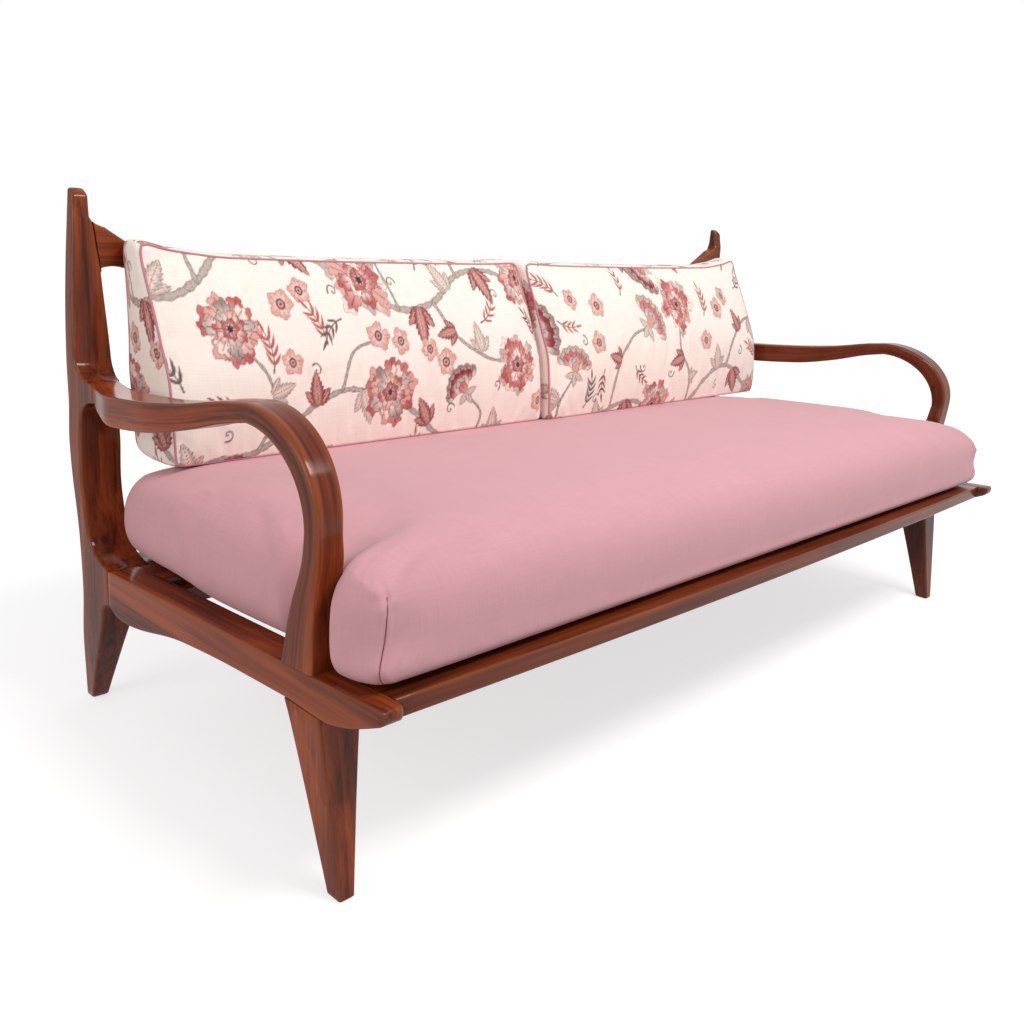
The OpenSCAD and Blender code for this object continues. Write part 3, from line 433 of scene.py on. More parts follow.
def cloth(name, colour=None, slub=0.14, mapped=False):
    """Plain woven cloth in one colour or, without one, in those of the piece's print. The weave
    lies on the piece's own cloth map or on Object coordinates."""
    material, tree, shader = new_material(name)
    if mapped:
        place = add(tree, "UVMap", uv_map="cloth").outputs[0]
    else:
        place = add(tree, "TexCoord").outputs["Object"]
    printed = colour is None
    dye = add(tree, "Attribute", attribute_name="print").outputs["Color"] if printed else (*colour, 1)
    weave = place_group(tree, "Plain Weave", Vector=place, Colour=dye, Slub=slub)
    put(shader, Base_Color=weave["Colour"], Normal=bump(tree, weave["Height"], 0.4, 0.0005),
        Roughness=0.85 if printed else 0.9, Sheen_Weight=0.15 if printed else 0.2, Sheen_Roughness=0.5,
        Specular_IOR_Level=0.25)
    return material


def brass(name):
    """Brushed brass of the screws."""
    material, tree, shader = new_material(name)
    place = add(tree, "TexCoord").outputs["Object"]
    noise = add(tree, "TexNoise", place, Scale=900.0, Detail=3.0).outputs["Fac"]
    put(shader, Base_Color=mix_node(tree, noise, srgb("8d6c3c"), srgb("c7a56b")),
        Normal=bump(tree, noise, 0.1, 0.0002), Metallic=1.0, Roughness=0.35)
    return material


# ---------------------------------------------------------------- the frame's shapes

class Frame:
    """The frame's formulas, in millimetres, with the front towards -Y."""

    def __init__(self, sizes):
        self.half = sizes.length * 500
        self.front = -sizes.depth * 500
        self.back = sizes.depth * 500
        self.top = sizes.post_height * 1000
        self.rail = sizes.rail_height * 1000
        self.arm = sizes.arm_height * 1000
        self.pitch = sizes.seat_pitch
        self.fall = math.tan(sizes.seat_pitch)
        self.arris = sizes.arris * 1000
        self.joint = self.back - 143
        self.cheek_top = self.rail_top(self.joint)
        self.cheek_bottom = self.cheek_top - 68 + 9
        self.notch = self.cheek_bottom - 20
        self.shoulder = self.back - 105
        self.shoulder_rise, self.shoulder_fall = 34.0, 46.0
        self.arm_rear = 557.0
        self.arm_end_bottom = self.arm_rear - 27
        self.ear = 801.0
        self.mitre = 44.0
        self.toe_rise, self.toe_reach = 44.0, 62.0
        self.leg_front = self.front + 117
        self.leg_back = self.leg_front + 71
        self.arm_front = self.front + 129
        self.crest_y = self.arm_front + 156
        self.splice = self.crest_y + 42
        self.neck = self.arm - 123
        self.crest, self.crest_depth = 692.0, 50.0

    def rail_top(self, y):
        """Top of the side rail, which falls towards the back with the seat's pitch."""
        return self.rail - self.fall * (y - self.front)

    def on_seat(self, p):
        """Points of the seat's own frame, turned by the seat's pitch and lifted on to the rails."""
        c, s = math.cos(self.pitch), math.sin(self.pitch)
        x, y, z = np.moveaxis(np.asarray(p, float), -1, 0)
        return np.stack([x, self.front + y * c + z * s, self.rail - y * s + z * c], -1)

    # Back posts
    def post_back(self, z):
        """Back of the post: a curve of the height through its insets from the rearmost plane."""
        return self.back - curve([
            [0, 19], [110, 31], [self.cheek_bottom, 46], [self.cheek_top + 30, 40],
            [self.cheek_top + 155, 18], [self.arm_rear - 30, 9], [self.arm_rear + 50, 5],
            [self.top - 100, 0], [self.top, 2]], z)

    def post_depth(self, z):
        """Depth of the post, front to back, before its front is stepped: a curve of the height."""
        return curve([
            [0, 24], [self.notch, 74], [self.cheek_top + 28, 38], [self.cheek_top + 100, 32],
            [self.cheek_top + 210, 44], [self.arm_rear + 30, 31], [self.ear, 25], [self.top, 17]], z)

    def shoulder_share(self, z):
        """How far the post's front is stepped out to carry the arm: all the way at the arm's end,
        and in hollow curves above and below it."""
        return hollow(np.maximum((z - self.arm_rear) / self.shoulder_rise,
                                 (self.arm_end_bottom - z) / self.shoulder_fall))

    def post_front(self, z):
        """The plain front, stepped out to the cheek that takes the side rail and to the shoulder."""
        plain = self.post_back(z) - self.post_depth(z)
        under = hollow((self.cheek_bottom - z) / (self.cheek_bottom - self.notch))
        over = self.toe_reach * hollow((z - self.cheek_top) / self.toe_rise)
        toe = np.where(z >= self.cheek_top, plain - over,
                       np.where(z >= self.cheek_bottom, self.joint, mix(plain, self.joint, under)))
        return np.where(z <= self.cheek_top + self.toe_rise, np.maximum(self.joint, toe),
                        mix(plain, self.shoulder, self.shoulder_share(z)))

    def post_outer(self, z):
        """Outer face of the post: upright along the rail and the arm, drawn in at foot and top."""
        return self.half - curve([[0, 13], [self.cheek_bottom, 0], [self.cheek_top + 180, 0],
                                  [self.arm_end_bottom, 4], [self.arm_rear, 4], [self.top, 19]], z)

    def post_breadth(self, z):
        """Breadth of the post: a curve of the height, full from the cheek to the arm."""
        return curve([
            [0, 30], [self.notch, 60], [self.cheek_bottom + 20, 72], [self.cheek_top + 180, 72],
            [self.arm_end_bottom, 66], [self.arm_rear, 66], [self.ear - 80, 50], [self.ear - 40, 41.5],
            [self.ear, 33], [self.ear + 12, 28], [self.top, 27]], z)

    def post_inner(self, z):
        """Inner face of the post: the outer one less the breadth."""
        return self.post_outer(z) - self.post_breadth(z)

    def post_rings(self):
        """Rounded rectangles up the post: each edge is its own curve of the height, the front one
        steps out into the cheek and the shoulder, and the top is tilted and eased."""
        over = np.array([0, 0.04, 0.12, 0.25, 0.45, 0.7, 1])
        under = np.array([1, 0.7, 0.45, 0.25, 0.12, 0.03, 0])
        cheek, toe, ear = self.cheek_top, self.cheek_top + self.toe_rise, self.ear
        low, high = self.arm_end_bottom - self.shoulder_fall, self.arm_rear + self.shoulder_rise
        stretches = [([3, 40, 80, 120, 150, self.notch], 3),
                     (mix(self.notch, self.cheek_bottom, np.array([0, 0.25, 0.5, 0.75, 0.9, 1])), 3),
                     ([self.cheek_bottom, cheek], 4), (cheek + over * self.toe_rise, 3),
                     ([toe, cheek + 80, cheek + 130, cheek + 180], 4), ([cheek + 180, low], 4),
                     (self.arm_end_bottom - under * self.shoulder_fall, 3),
                     ([self.arm_end_bottom, self.arm_rear], 3),
                     (self.arm_rear + over * self.shoulder_rise, 3),
                     ([high, ear - 160, ear - 120, ear - 80, ear - 40, ear], 5),
                     ([ear, ear + 6, ear + 12, self.top - 14], 3)]
        round_top, eased, fall = np.radians([0, 18, 36, 54, 70, 85]), 5, 0.65
        z = np.concatenate([[0], *(finer(places, parts)[:-1] for places, parts in stretches), [self.top - 14],
                            self.top - eased * (1 - np.sin(round_top))])
        tops = len(round_top)
        inset = np.concatenate([[2.5], np.zeros(len(z) - 1 - tops), eased * (1 - np.cos(round_top))])
        tilt = fall * np.clip((z - ear) / 40, 0, 1)
        tilt[-tops - 1] = max(tilt[-tops - 1], fall * 0.7)
        tilt[-tops:] = fall
        back, front = self.post_back(z), self.post_front(z)
        p = rounded(-self.post_outer(z) + inset, -self.post_inner(z) - inset,
                    front + inset, back - inset, self.arris)
        x, y = p[..., 0], p[..., 1]
        z, back, front = z[:, None], back[:, None], front[:, None]
        across = np.clip((x + self.post_outer(z)) / self.post_breadth(z), 0, 1)
        forward = np.clip((back - y) / (back - front), 0, 1)
        mitre = np.where(z <= self.cheek_top + self.toe_rise, 0, self.shoulder_share(z))
        return np.stack([x, y + self.mitre * mitre * across * forward, z - tilt[:, None] * (back - y)], -1)

    # Side rails and front legs
    def rail_breadth(self, y):
        """Breadth of the side rail: narrow in the horn, full behind the leg."""
        f = self.front
        return curve([[f, 34], [f + 30, 38], [f + 110, 38], [f + 170, 55], [self.back, 55]], y)

    def rail_depth(self, y):
        """Depth of the side rail: grows from the horn to the leg, thins in the arch and swells
        to the cheek."""
        f, b = self.front, self.leg_back
        return curve([[f, 17], [f + 34, 32], [f + 66, 44], [self.leg_front - 10, 51], [b, 46], [b + 110, 46],
                      [b + 250, 51], [self.joint - 55, 74], [self.joint - 28, 72],
                      [self.joint, self.cheek_top - self.cheek_bottom]], y)

    def side_rail_rings(self):
        """Rounded rectangles along the rail: the underside arches up behind the leg and sweeps
        up into the horn, whose tip is a bullnose."""
        nose, tip = np.radians([0, 15, 30, 45, 60, 75, 86]), 7
        from_tip = np.array([645, 630, 612, 590, 550, 500, 440, 370, 300, 240, 188, 170, 140, 107, 84, 66,
                             50, 34, 20, tip])
        y = finer([self.joint - 0.1, *(self.front + from_tip)], 3)[:-1]
        y = np.concatenate([y[:1], y[1:][y[1:] < self.joint - 6], self.front + tip * (1 - np.sin(nose))])
        inset = np.concatenate([np.zeros(len(y) - len(nose)), tip * (1 - np.cos(nose))])
        top = self.rail_top(y)
        p = rounded(-self.half + inset, -self.half + self.rail_breadth(y) - inset,
                    top - self.rail_depth(y) + inset, top - inset, self.arris - 1)
        return np.stack([p[..., 0], np.broadcast_to(y[:, None], p.shape[:2]), p[..., 1]], -1)

    def leg_rings(self):
        """Rounded rectangles down the leg, which tapers on all sides and leans forward."""
        t = np.concatenate([[1, 0.9885], np.linspace(0.97, 0, 16)])
        inset = np.where(t == 1, 2.5, 0)
        front = mix(self.leg_front, self.leg_front - 40, t)
        back = front + mix(71, 27, t ** 0.86)
        outer = self.half - 14 * t
        inner = outer - mix(70, 25, t ** 0.9)
        p = rounded(-outer + inset, -inner - inset, front + inset, back - inset, self.arris - 1)
        y = p[..., 1]
        under = self.rail_top(y) - self.rail_depth(y) - 0.1
        return np.stack([p[..., 0], y, mix(under, 0, t[:, None])], -1)

    # Arms
    def arm_share(self, y):
        """Share of the way along the arm: 0 at the post's shoulder, 1 at the crest."""
        return (self.shoulder - y) / (self.shoulder - self.crest_y)

    def arm_top(self, y):
        """Top of the arm: an S curve that climbs from the post to the crest."""
        return self.arm_rear + (self.arm - self.arm_rear) * curve(
            [[0, 0], [0.12, 0.02], [0.45, 0.24], [0.68, 0.5], [0.88, 0.86], [1, 1]], self.arm_share(y))

    def arm_thickness(self, y):
        """Thickness of the arm: a curve, most between a quarter and a half of the way."""
        return curve([[0, 27], [0.1, 38], [0.24, 45], [0.45, 44], [0.68, 37], [0.9, 29], [1, 26]],
                     self.arm_share(y))

    def arm_outer(self, y):
        """Outer face of the arm: bows out past the post and comes back at the crest."""
        return self.half - 2 + 27 * curve(
            [[0, 0], [0.07, 0.42], [0.22, 0.95], [0.45, 0.95], [0.68, 0.6], [0.88, 0.2], [1, 0.07]],
            self.arm_share(y))

    def arm_breadth(self, y):
        """Breadth of the arm: full near the post, less towards the crest."""
        return curve([[0, 66], [0.22, 66], [0.68, 58], [1, 54]], self.arm_share(y))

    def armrest_ring(self, y):
        """Sections across the armrest, skewed near the post to meet it on the mitre."""
        y = np.atleast_1d(y).astype(float)
        skew = self.mitre * np.clip(1 - 1.8 * self.arm_share(y), 0, 1)
        p = rounded(-self.arm_outer(y), -self.arm_outer(y) + self.arm_breadth(y),
                    self.arm_top(y) - self.arm_thickness(y), self.arm_top(y), self.arris + 1)
        lean = (p[..., 0] + self.post_outer(self.arm_rear)) / self.post_breadth(self.arm_rear)
        return np.stack([p[..., 0], y[:, None] + skew[:, None] * lean, p[..., 1]], -1)

    def armrest_rings(self):
        """Sections along the armrest, from the post's shoulder to the splice."""
        s = finer([0, 0.04, 0.09, 0.15, 0.22, 0.32, 0.43, 0.54, 0.65, 0.76, 0.86, 1], 3)
        return self.armrest_ring(mix(self.shoulder - 0.1, self.splice + 0.1, s))

    def support_rings(self):
        """The bent support: from the armrest's end round two ellipses, one for its outer and one
        for its inner curve, with the sections standing between them, then down to its foot."""
        top = self.armrest_ring(np.linspace(self.splice, self.crest_y, 5)[:-1])
        a = np.radians(np.linspace(0, 90, 25))
        reach, drop = self.crest_y - self.arm_front, self.arm - self.neck
        thin, thick, lower = 28, 26, 15
        outer = np.stack([self.crest_y - reach * np.sin(a), self.neck + drop * np.cos(a)], -1)
        inner = np.stack([self.crest_y - (reach - thin) * np.sin(a),
                          self.neck - lower + (drop + lower - thick) * np.cos(a)], -1)
        d = outer - inner
        t = np.linalg.norm(d, axis=1)
        n = d / t[:, None]
        deg = np.degrees(a)
        x0 = mix(-self.arm_outer(self.crest_y), -self.half, ease(deg / 60))
        p = rounded(x0, x0 + mix(54, 41, ease(deg / 90)), 0, t, self.arris + 1)
        bend = np.stack([p[..., 0], inner[:, None, 0] + n[:, None, 0] * p[..., 1],
                         inner[:, None, 1] + n[:, None, 1] * p[..., 1]], -1)
        t = finer([0.96, 0.93, 0.86, 0.78, 0.68, 0.56, 0.42, 0.28, 0.14, 0], 2)
        low = self.rail_top(self.arm_front) + 0.1
        z = mix(low, self.neck - 6, t)
        front = self.arm_front + curve([[0, 4], [0.45, 7], [0.8, 1.5], [1, 0]], t)
        back = curve([[0, self.arm_front + 68], [0.42, self.arm_front + 52], [0.8, self.arm_front + 31],
                      [1, self.arm_front + 28]], t)
        width = curve([[0, 46], [0.75, 46], [1, 41]], t)
        p = rounded(-self.half, -self.half + width, 0, back - front, self.arris + 1)
        y = back[:, None] - p[..., 1]
        level_foot = np.clip(1 - t / 0.3, 0, None)[:, None]
        z = z[:, None] + level_foot * (self.rail_top(y) - self.rail_top(self.arm_front))
        foot = np.stack([p[..., 0], y, z], -1)
        return np.concatenate([top, bend, foot])

    # Crest rail and front rail
    def crest_top(self, d):
        """Top of the crest rail at a distance from its end: falls from the ear to the level middle."""
        e, c = self.ear, self.crest
        return curve([[0, e], [50, e - 29], [92, e - 51], [132, e - 69], [200, c + 20], [300, c + 7],
                      [500, c]], d)

    def crest_bottom(self, d):
        """Underside of the crest rail, which starts below the ear and falls with its top."""
        e, c = self.ear, self.crest - self.crest_depth
        return curve([[0, e - 78], [8, e - 71], [26, e - 68], [60, e - 74], [110, e - 101],
                      [170, c + 27], [270, c + 10], [500, c]], d)

    def crest_rings(self):
        """Sections across the crest rail: level in the middle, sweeping up into the posts, with
        each end cut to the post's leaning inner face."""
        end = self.post_inner(self.ear - 40)
        d = finer([0, 6, 14, 30, 50, 72, 98, 130, 170, 220, 300, 420, 600], 3)
        x = np.concatenate([-(end - d), (end - d)[::-1]])
        way = end - np.abs(x)
        p = rounded(self.back - 27, self.back - 4, self.crest_bottom(way), self.crest_top(way),
                    self.arris - 1)
        flush = np.sign(x[:, None]) * (self.post_inner(p[..., 1]) - 0.5)
        near = np.clip(1 - way / 14, 0, 1)[:, None]
        return np.stack([mix(x[:, None], flush, near), p[..., 0], p[..., 1]], -1)

    def front_rail_rings(self):
        """Sections along the front rail, whose face bows forward on a parabola."""
        inner = self.half - 38 - 0.1
        s = np.linspace(-1, 1, 61)
        p = rounded(20 - 13 * (1 - s * s), 96, -26, 0, 3.5)
        x = np.broadcast_to(s[:, None] * inner, p.shape[:2])
        return self.on_seat(np.stack([x, p[..., 0], p[..., 1]], -1))


def frame_shapes():
    """The frame's formulas at the panel's sizes."""
    return Frame(bpy.context.scene.sofa_frame)


def both_sides(piece, rings, along, finish, shift, tone=1.0, ease_by=0.7, start=0.0):
    """Left piece and its mirror image, whose wood is painted darker for the shade on the far side, each for
    the node of its own name.
    """
    # The right pieces get painted shade: their wood is 0.7 times as dark.
    for side, way, cut, shade in (("left", 1, 0.37, tone), ("right", -1, 0.81, 0.7 * tone)):
        material = teak(f"teak {side} {piece}", finish, along, (shift, cut, 0.2), shade)
        loft(f"{side}_{piece}", "carved", rings * [way, 1, 1], material, ease_by, start)


class SOFA_OT_posts(bpy.types.Operator):
    """Back posts with their cheeks, shoulders and sloping tops"""
    bl_idname = "sofa.posts"
    bl_label = "Back Posts"

    def execute(self, context):
        finish = context.scene.sofa_finish
        both_sides("post", frame_shapes().post_rings(), "z", finish, 0.1, 0.85)
        return {"FINISHED"}


class SOFA_OT_side_rails(bpy.types.Operator):
    """Arched side rails with their horns"""
    bl_idname = "sofa.side_rails"
    bl_label = "Side Rails"

    def execute(self, context):
        finish = context.scene.sofa_finish
        both_sides("side_rail", frame_shapes().side_rail_rings(), "y", finish, 0.5)
        return {"FINISHED"}


class SOFA_OT_legs(bpy.types.Operator):
    """Tapered front legs"""
    bl_idname = "sofa.legs"
    bl_label = "Front Legs"

    def execute(self, context):
        finish = context.scene.sofa_finish
        both_sides("front_leg", frame_shapes().leg_rings(), "z", finish, 0.9)
        return {"FINISHED"}


class SOFA_OT_arms(bpy.types.Operator):
    """Armrests and the bent supports that carry them, with the grain running on at the splice"""
    bl_idname = "sofa.arms"
    bl_label = "Arms"

    def execute(self, context):
        finish = context.scene.sofa_finish
        shapes = frame_shapes()
        rest = shapes.armrest_rings()
        length = np.linalg.norm(np.diff(rest.mean(1), axis=0), axis=1).sum()
        for piece, rings, start in (("armrest", rest, 0.0), ("arm_support", shapes.support_rings(), length)):
            both_sides(piece, rings, "path", finish, 1.3, ease_by=0.15, start=start)
        return {"FINISHED"}


class SOFA_OT_crest(bpy.types.Operator):
    """Crest rail that sweeps up into the posts"""
    bl_idname = "sofa.crest"
    bl_label = "Crest Rail"

    def execute(self, context):
        finish = context.scene.sofa_finish
        loft("crest_rail", "carved", frame_shapes().crest_rings(),
             teak("teak crest rail", finish, "x", (0.2, 0.6, 0.1)))
        return {"FINISHED"}


class SOFA_OT_front_rail(bpy.types.Operator):
    """Bowed front rail under the seat cushion"""
    bl_idname = "sofa.front_rail"
    bl_label = "Front Rail"

    def execute(self, context):
        finish = context.scene.sofa_finish
        # Tone 0.6: the rail's wood is painted darker for the shade under the seat cushion.
        loft("front_rail", "moulded", frame_shapes().front_rail_rings(),
             teak("teak front rail", finish, "x", (0.7, 0.1, 0.4), 0.6))
        return {"FINISHED"}


class SOFA_OT_straight_wood(bpy.types.Operator):
    """Slats, boards, cleats, dowels and screws: the solids as they are, with eased edges"""
    bl_idname = "sofa.straight_wood"
    bl_label = "Slats, Boards and Screws"

    def execute(self, context):
        finish = context.scene.sofa_finish
        metal = brass("screw brass")
        for number, (name, node) in enumerate(sorted(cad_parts.items())):
            if node.hide_render or "cushion" in name:
                continue
            material = metal
            if "screws" not in name:
                along = ("z" if name.startswith("back_slat") or name == "leg_dowels" else
                         "y" if name.startswith("seat_slat") or "board_cleat" in name or name == "arm_dowels"
                         else "x")
                tone = 0.86 + 0.2 * (number * 0.618 % 1)
                if "cleat" in name or "apron" in name:
                    tone *= 0.75
                shift = (number * 0.31 % 3, number * 0.17 % 1, 0.3)
                material = teak(f"teak {name}", finish, along, shift, tone)
            node.data.materials.clear()
            node.data.materials.append(material)
            if "screws" in name or "dowels" in name:
                continue
            node.modifiers.new("Weld", "WELD").merge_threshold = 1e-5
            bevel = node.modifiers.new("Bevel", "BEVEL")
            bevel.width = 0.0012 if name.startswith(("back_slat", "seat_slat")) else 0.0016
            bevel.segments = 2
            bevel.limit_method = "ANGLE"
            bevel.angle_limit = math.radians(50)
        return {"FINISHED"}


# ---------------------------------------------------------------- cushions

def box_lattice(nx, ny, nz):
    """Points on the surface of a box of nx by ny by nz cells, as whole numbers, and its quads
    by side: -X, +X, -Y, +Y, -Z, +Z."""
    i, j, k = np.indices((nx + 1, ny + 1, nz + 1))
    on = (i == 0) | (i == nx) | (j == 0) | (j == ny) | (k == 0) | (k == nz)
    number = np.full(on.shape, -1)
    number[on] = np.arange(on.sum())
    sides = []
    for axis in range(3):
        for end in (0, -1):
            a = number.take(end, axis)
            q = np.stack([a[:-1, :-1], a[1:, :-1], a[1:, 1:], a[:-1, 1:]], -1).reshape(-1, 4)
            sides.append(q[:, ::-1] if (axis == 1) == (end == -1) else q)
    return np.stack([i[on], j[on], k[on]], 1), sides


def round_corners(x, y, half_x, y0, y1, front_r, rear_r):
    """Rectangle pressed to rounded corners: inside a corner's square the distance from its
    centre, measured to the longer side, becomes a true radius."""
    rear = y > (y0 + y1) / 2
    r = np.where(rear, rear_r, front_r)
    dx = np.abs(x) - (half_x - r)
    dy = np.where(rear, y - (y1 - r), (y0 + r) - y)
    corner = (dx > 0) & (dy > 0)
    share = np.maximum(dx, dy) / np.maximum(np.hypot(dx, dy), 1e-9)
    return (np.where(corner, np.sign(x) * (half_x - r + dx * share), x),
            np.where(corner, np.where(rear, y1 - r + dy * share, y0 + r - dy * share), y))


def subdivide(piece, levels):
    """Subdivision surface, applied."""
    modifier = piece.modifiers.new("Subdivision", "SUBSURF")
    modifier.levels = modifier.render_levels = levels
    modifier.uv_smooth = "NONE"
    made = bpy.data.meshes.new_from_object(piece.evaluated_get(bpy.context.evaluated_depsgraph_get()))
    piece.modifiers.clear()
    old = piece.data
    made.name = old.name
    piece.data = made
    bpy.data.meshes.remove(old)
    made.shade_smooth()


def coords(mesh):
    """Places of a mesh's points, a row each."""
    co = np.empty(len(mesh.vertices) * 3, np.float32)
    mesh.vertices.foreach_get("co", co)
    return co.reshape(-1, 3).astype(float)


def set_coords(mesh, co):
    """Puts a mesh's points in these places."""
    mesh.vertices.foreach_set("co", np.ascontiguousarray(co, np.float32).ravel())
    mesh.update()


def cloth_map(mesh, sides, u, v):
    """Cloth's own coordinates in metres: u and v give, for each of a box's sides, a value for
    every point, and each panel lies flat on the uncut cloth."""
    order = np.empty(len(mesh.loops), np.int32)
    mesh.loops.foreach_get("vertex_index", order)
    panel = np.repeat(np.arange(6), [4 * len(s) for s in sides])
    flat = np.stack([np.choose(panel, [a[order] for a in u]), np.choose(panel, [a[order] for a in v])], -1)
    mesh.uv_layers.new(name="cloth").data.foreach_set("uv", flat.astype(np.float32).ravel())


def fill_out(piece, held, cap, slack):
    """Cloth filled from inside: the cloth is cut larger than its shape by slack, held where the
    weights are 1, and blown up by an even pressure. A point moves no further than the cap."""
    rest, held = coords(piece.data), np.clip(held, 0, 1)
    group = piece.vertex_groups.new(name="held")
    level = np.round(held * 10).astype(int)
    for k in range(1, 11):
        group.add(np.flatnonzero(level == k).tolist(), k / 10, "REPLACE")
    sim = piece.modifiers.new("Cloth", "CLOTH")
    for key, value in dict(
            quality=4, mass=0.25, tension_stiffness=12, compression_stiffness=12, shear_stiffness=4,
            bending_stiffness=0.6, use_pressure=True, uniform_pressure_force=3.0,
            vertex_group_mass="held", shrink_min=-slack).items():
        setattr(sim.settings, key, value)
    sim.settings.effector_weights.gravity = 0
    sim.collision_settings.use_collision = False
    scene = bpy.context.scene
    for f in range(1, FRAMES + 1):
        scene.frame_set(f)
    moved = coords(piece.evaluated_get(bpy.context.evaluated_depsgraph_get()).data) - rest
    piece.modifiers.remove(sim)
    piece.vertex_groups.remove(group)
    scene.frame_set(1)
    far = np.linalg.norm(moved, axis=1)
    share = (1 - held) * cap * np.tanh(far / cap) / np.maximum(far, 1e-9)
    set_coords(piece.data, rest + moved * share[:, None])


def steps(*runs):
    """Places from 0 on, from runs of (end, number of steps)."""
    at, places = 0.0, [0.0]
    for end, n in runs:
        places.extend(np.linspace(at, end, n + 1)[1:])
        at = end
    return np.array(places)


# How far the seat cushion's end and front are drawn in at a level, and from its fullest level on
# the same read the other way: the level of its top at a distance from the edge
FULLEST = 0.36
END = [[0, 76], [0.012, 54], [0.07, 28], [0.19, 8], [FULLEST, 0], [0.53, 1], [0.67, 8], [0.78, 20],
       [0.865, 42], [0.935, 86], [0.978, 160], [1, 250]]
FACE = [[0, 20], [0.012, 11], [0.07, 4], [0.19, 0], [FULLEST, 0], [0.53, 3], [0.67, 11], [0.78, 25],
        [0.865, 48], [0.935, 90], [0.978, 160], [1, 240]]
END_CROWN, FACE_CROWN = ([[d, h] for h, d in profile if h >= FULLEST] for profile in (END, FACE))
SEAT_LEVELS = np.array([0, 0.012, 0.04, 0.08, 0.14, 0.2, 0.28, 0.36, 0.44, 0.53, 0.6, 0.67, 0.72, 0.765, 0.8])
PRESS = 125.0, 211.0      # from the seat's front, where the arms' feet press into it
SEAT_FRONT = 25.0         # of the cushion, from the horns' tips
ON_SLATS = 0.4            # the seat cushion's height over them


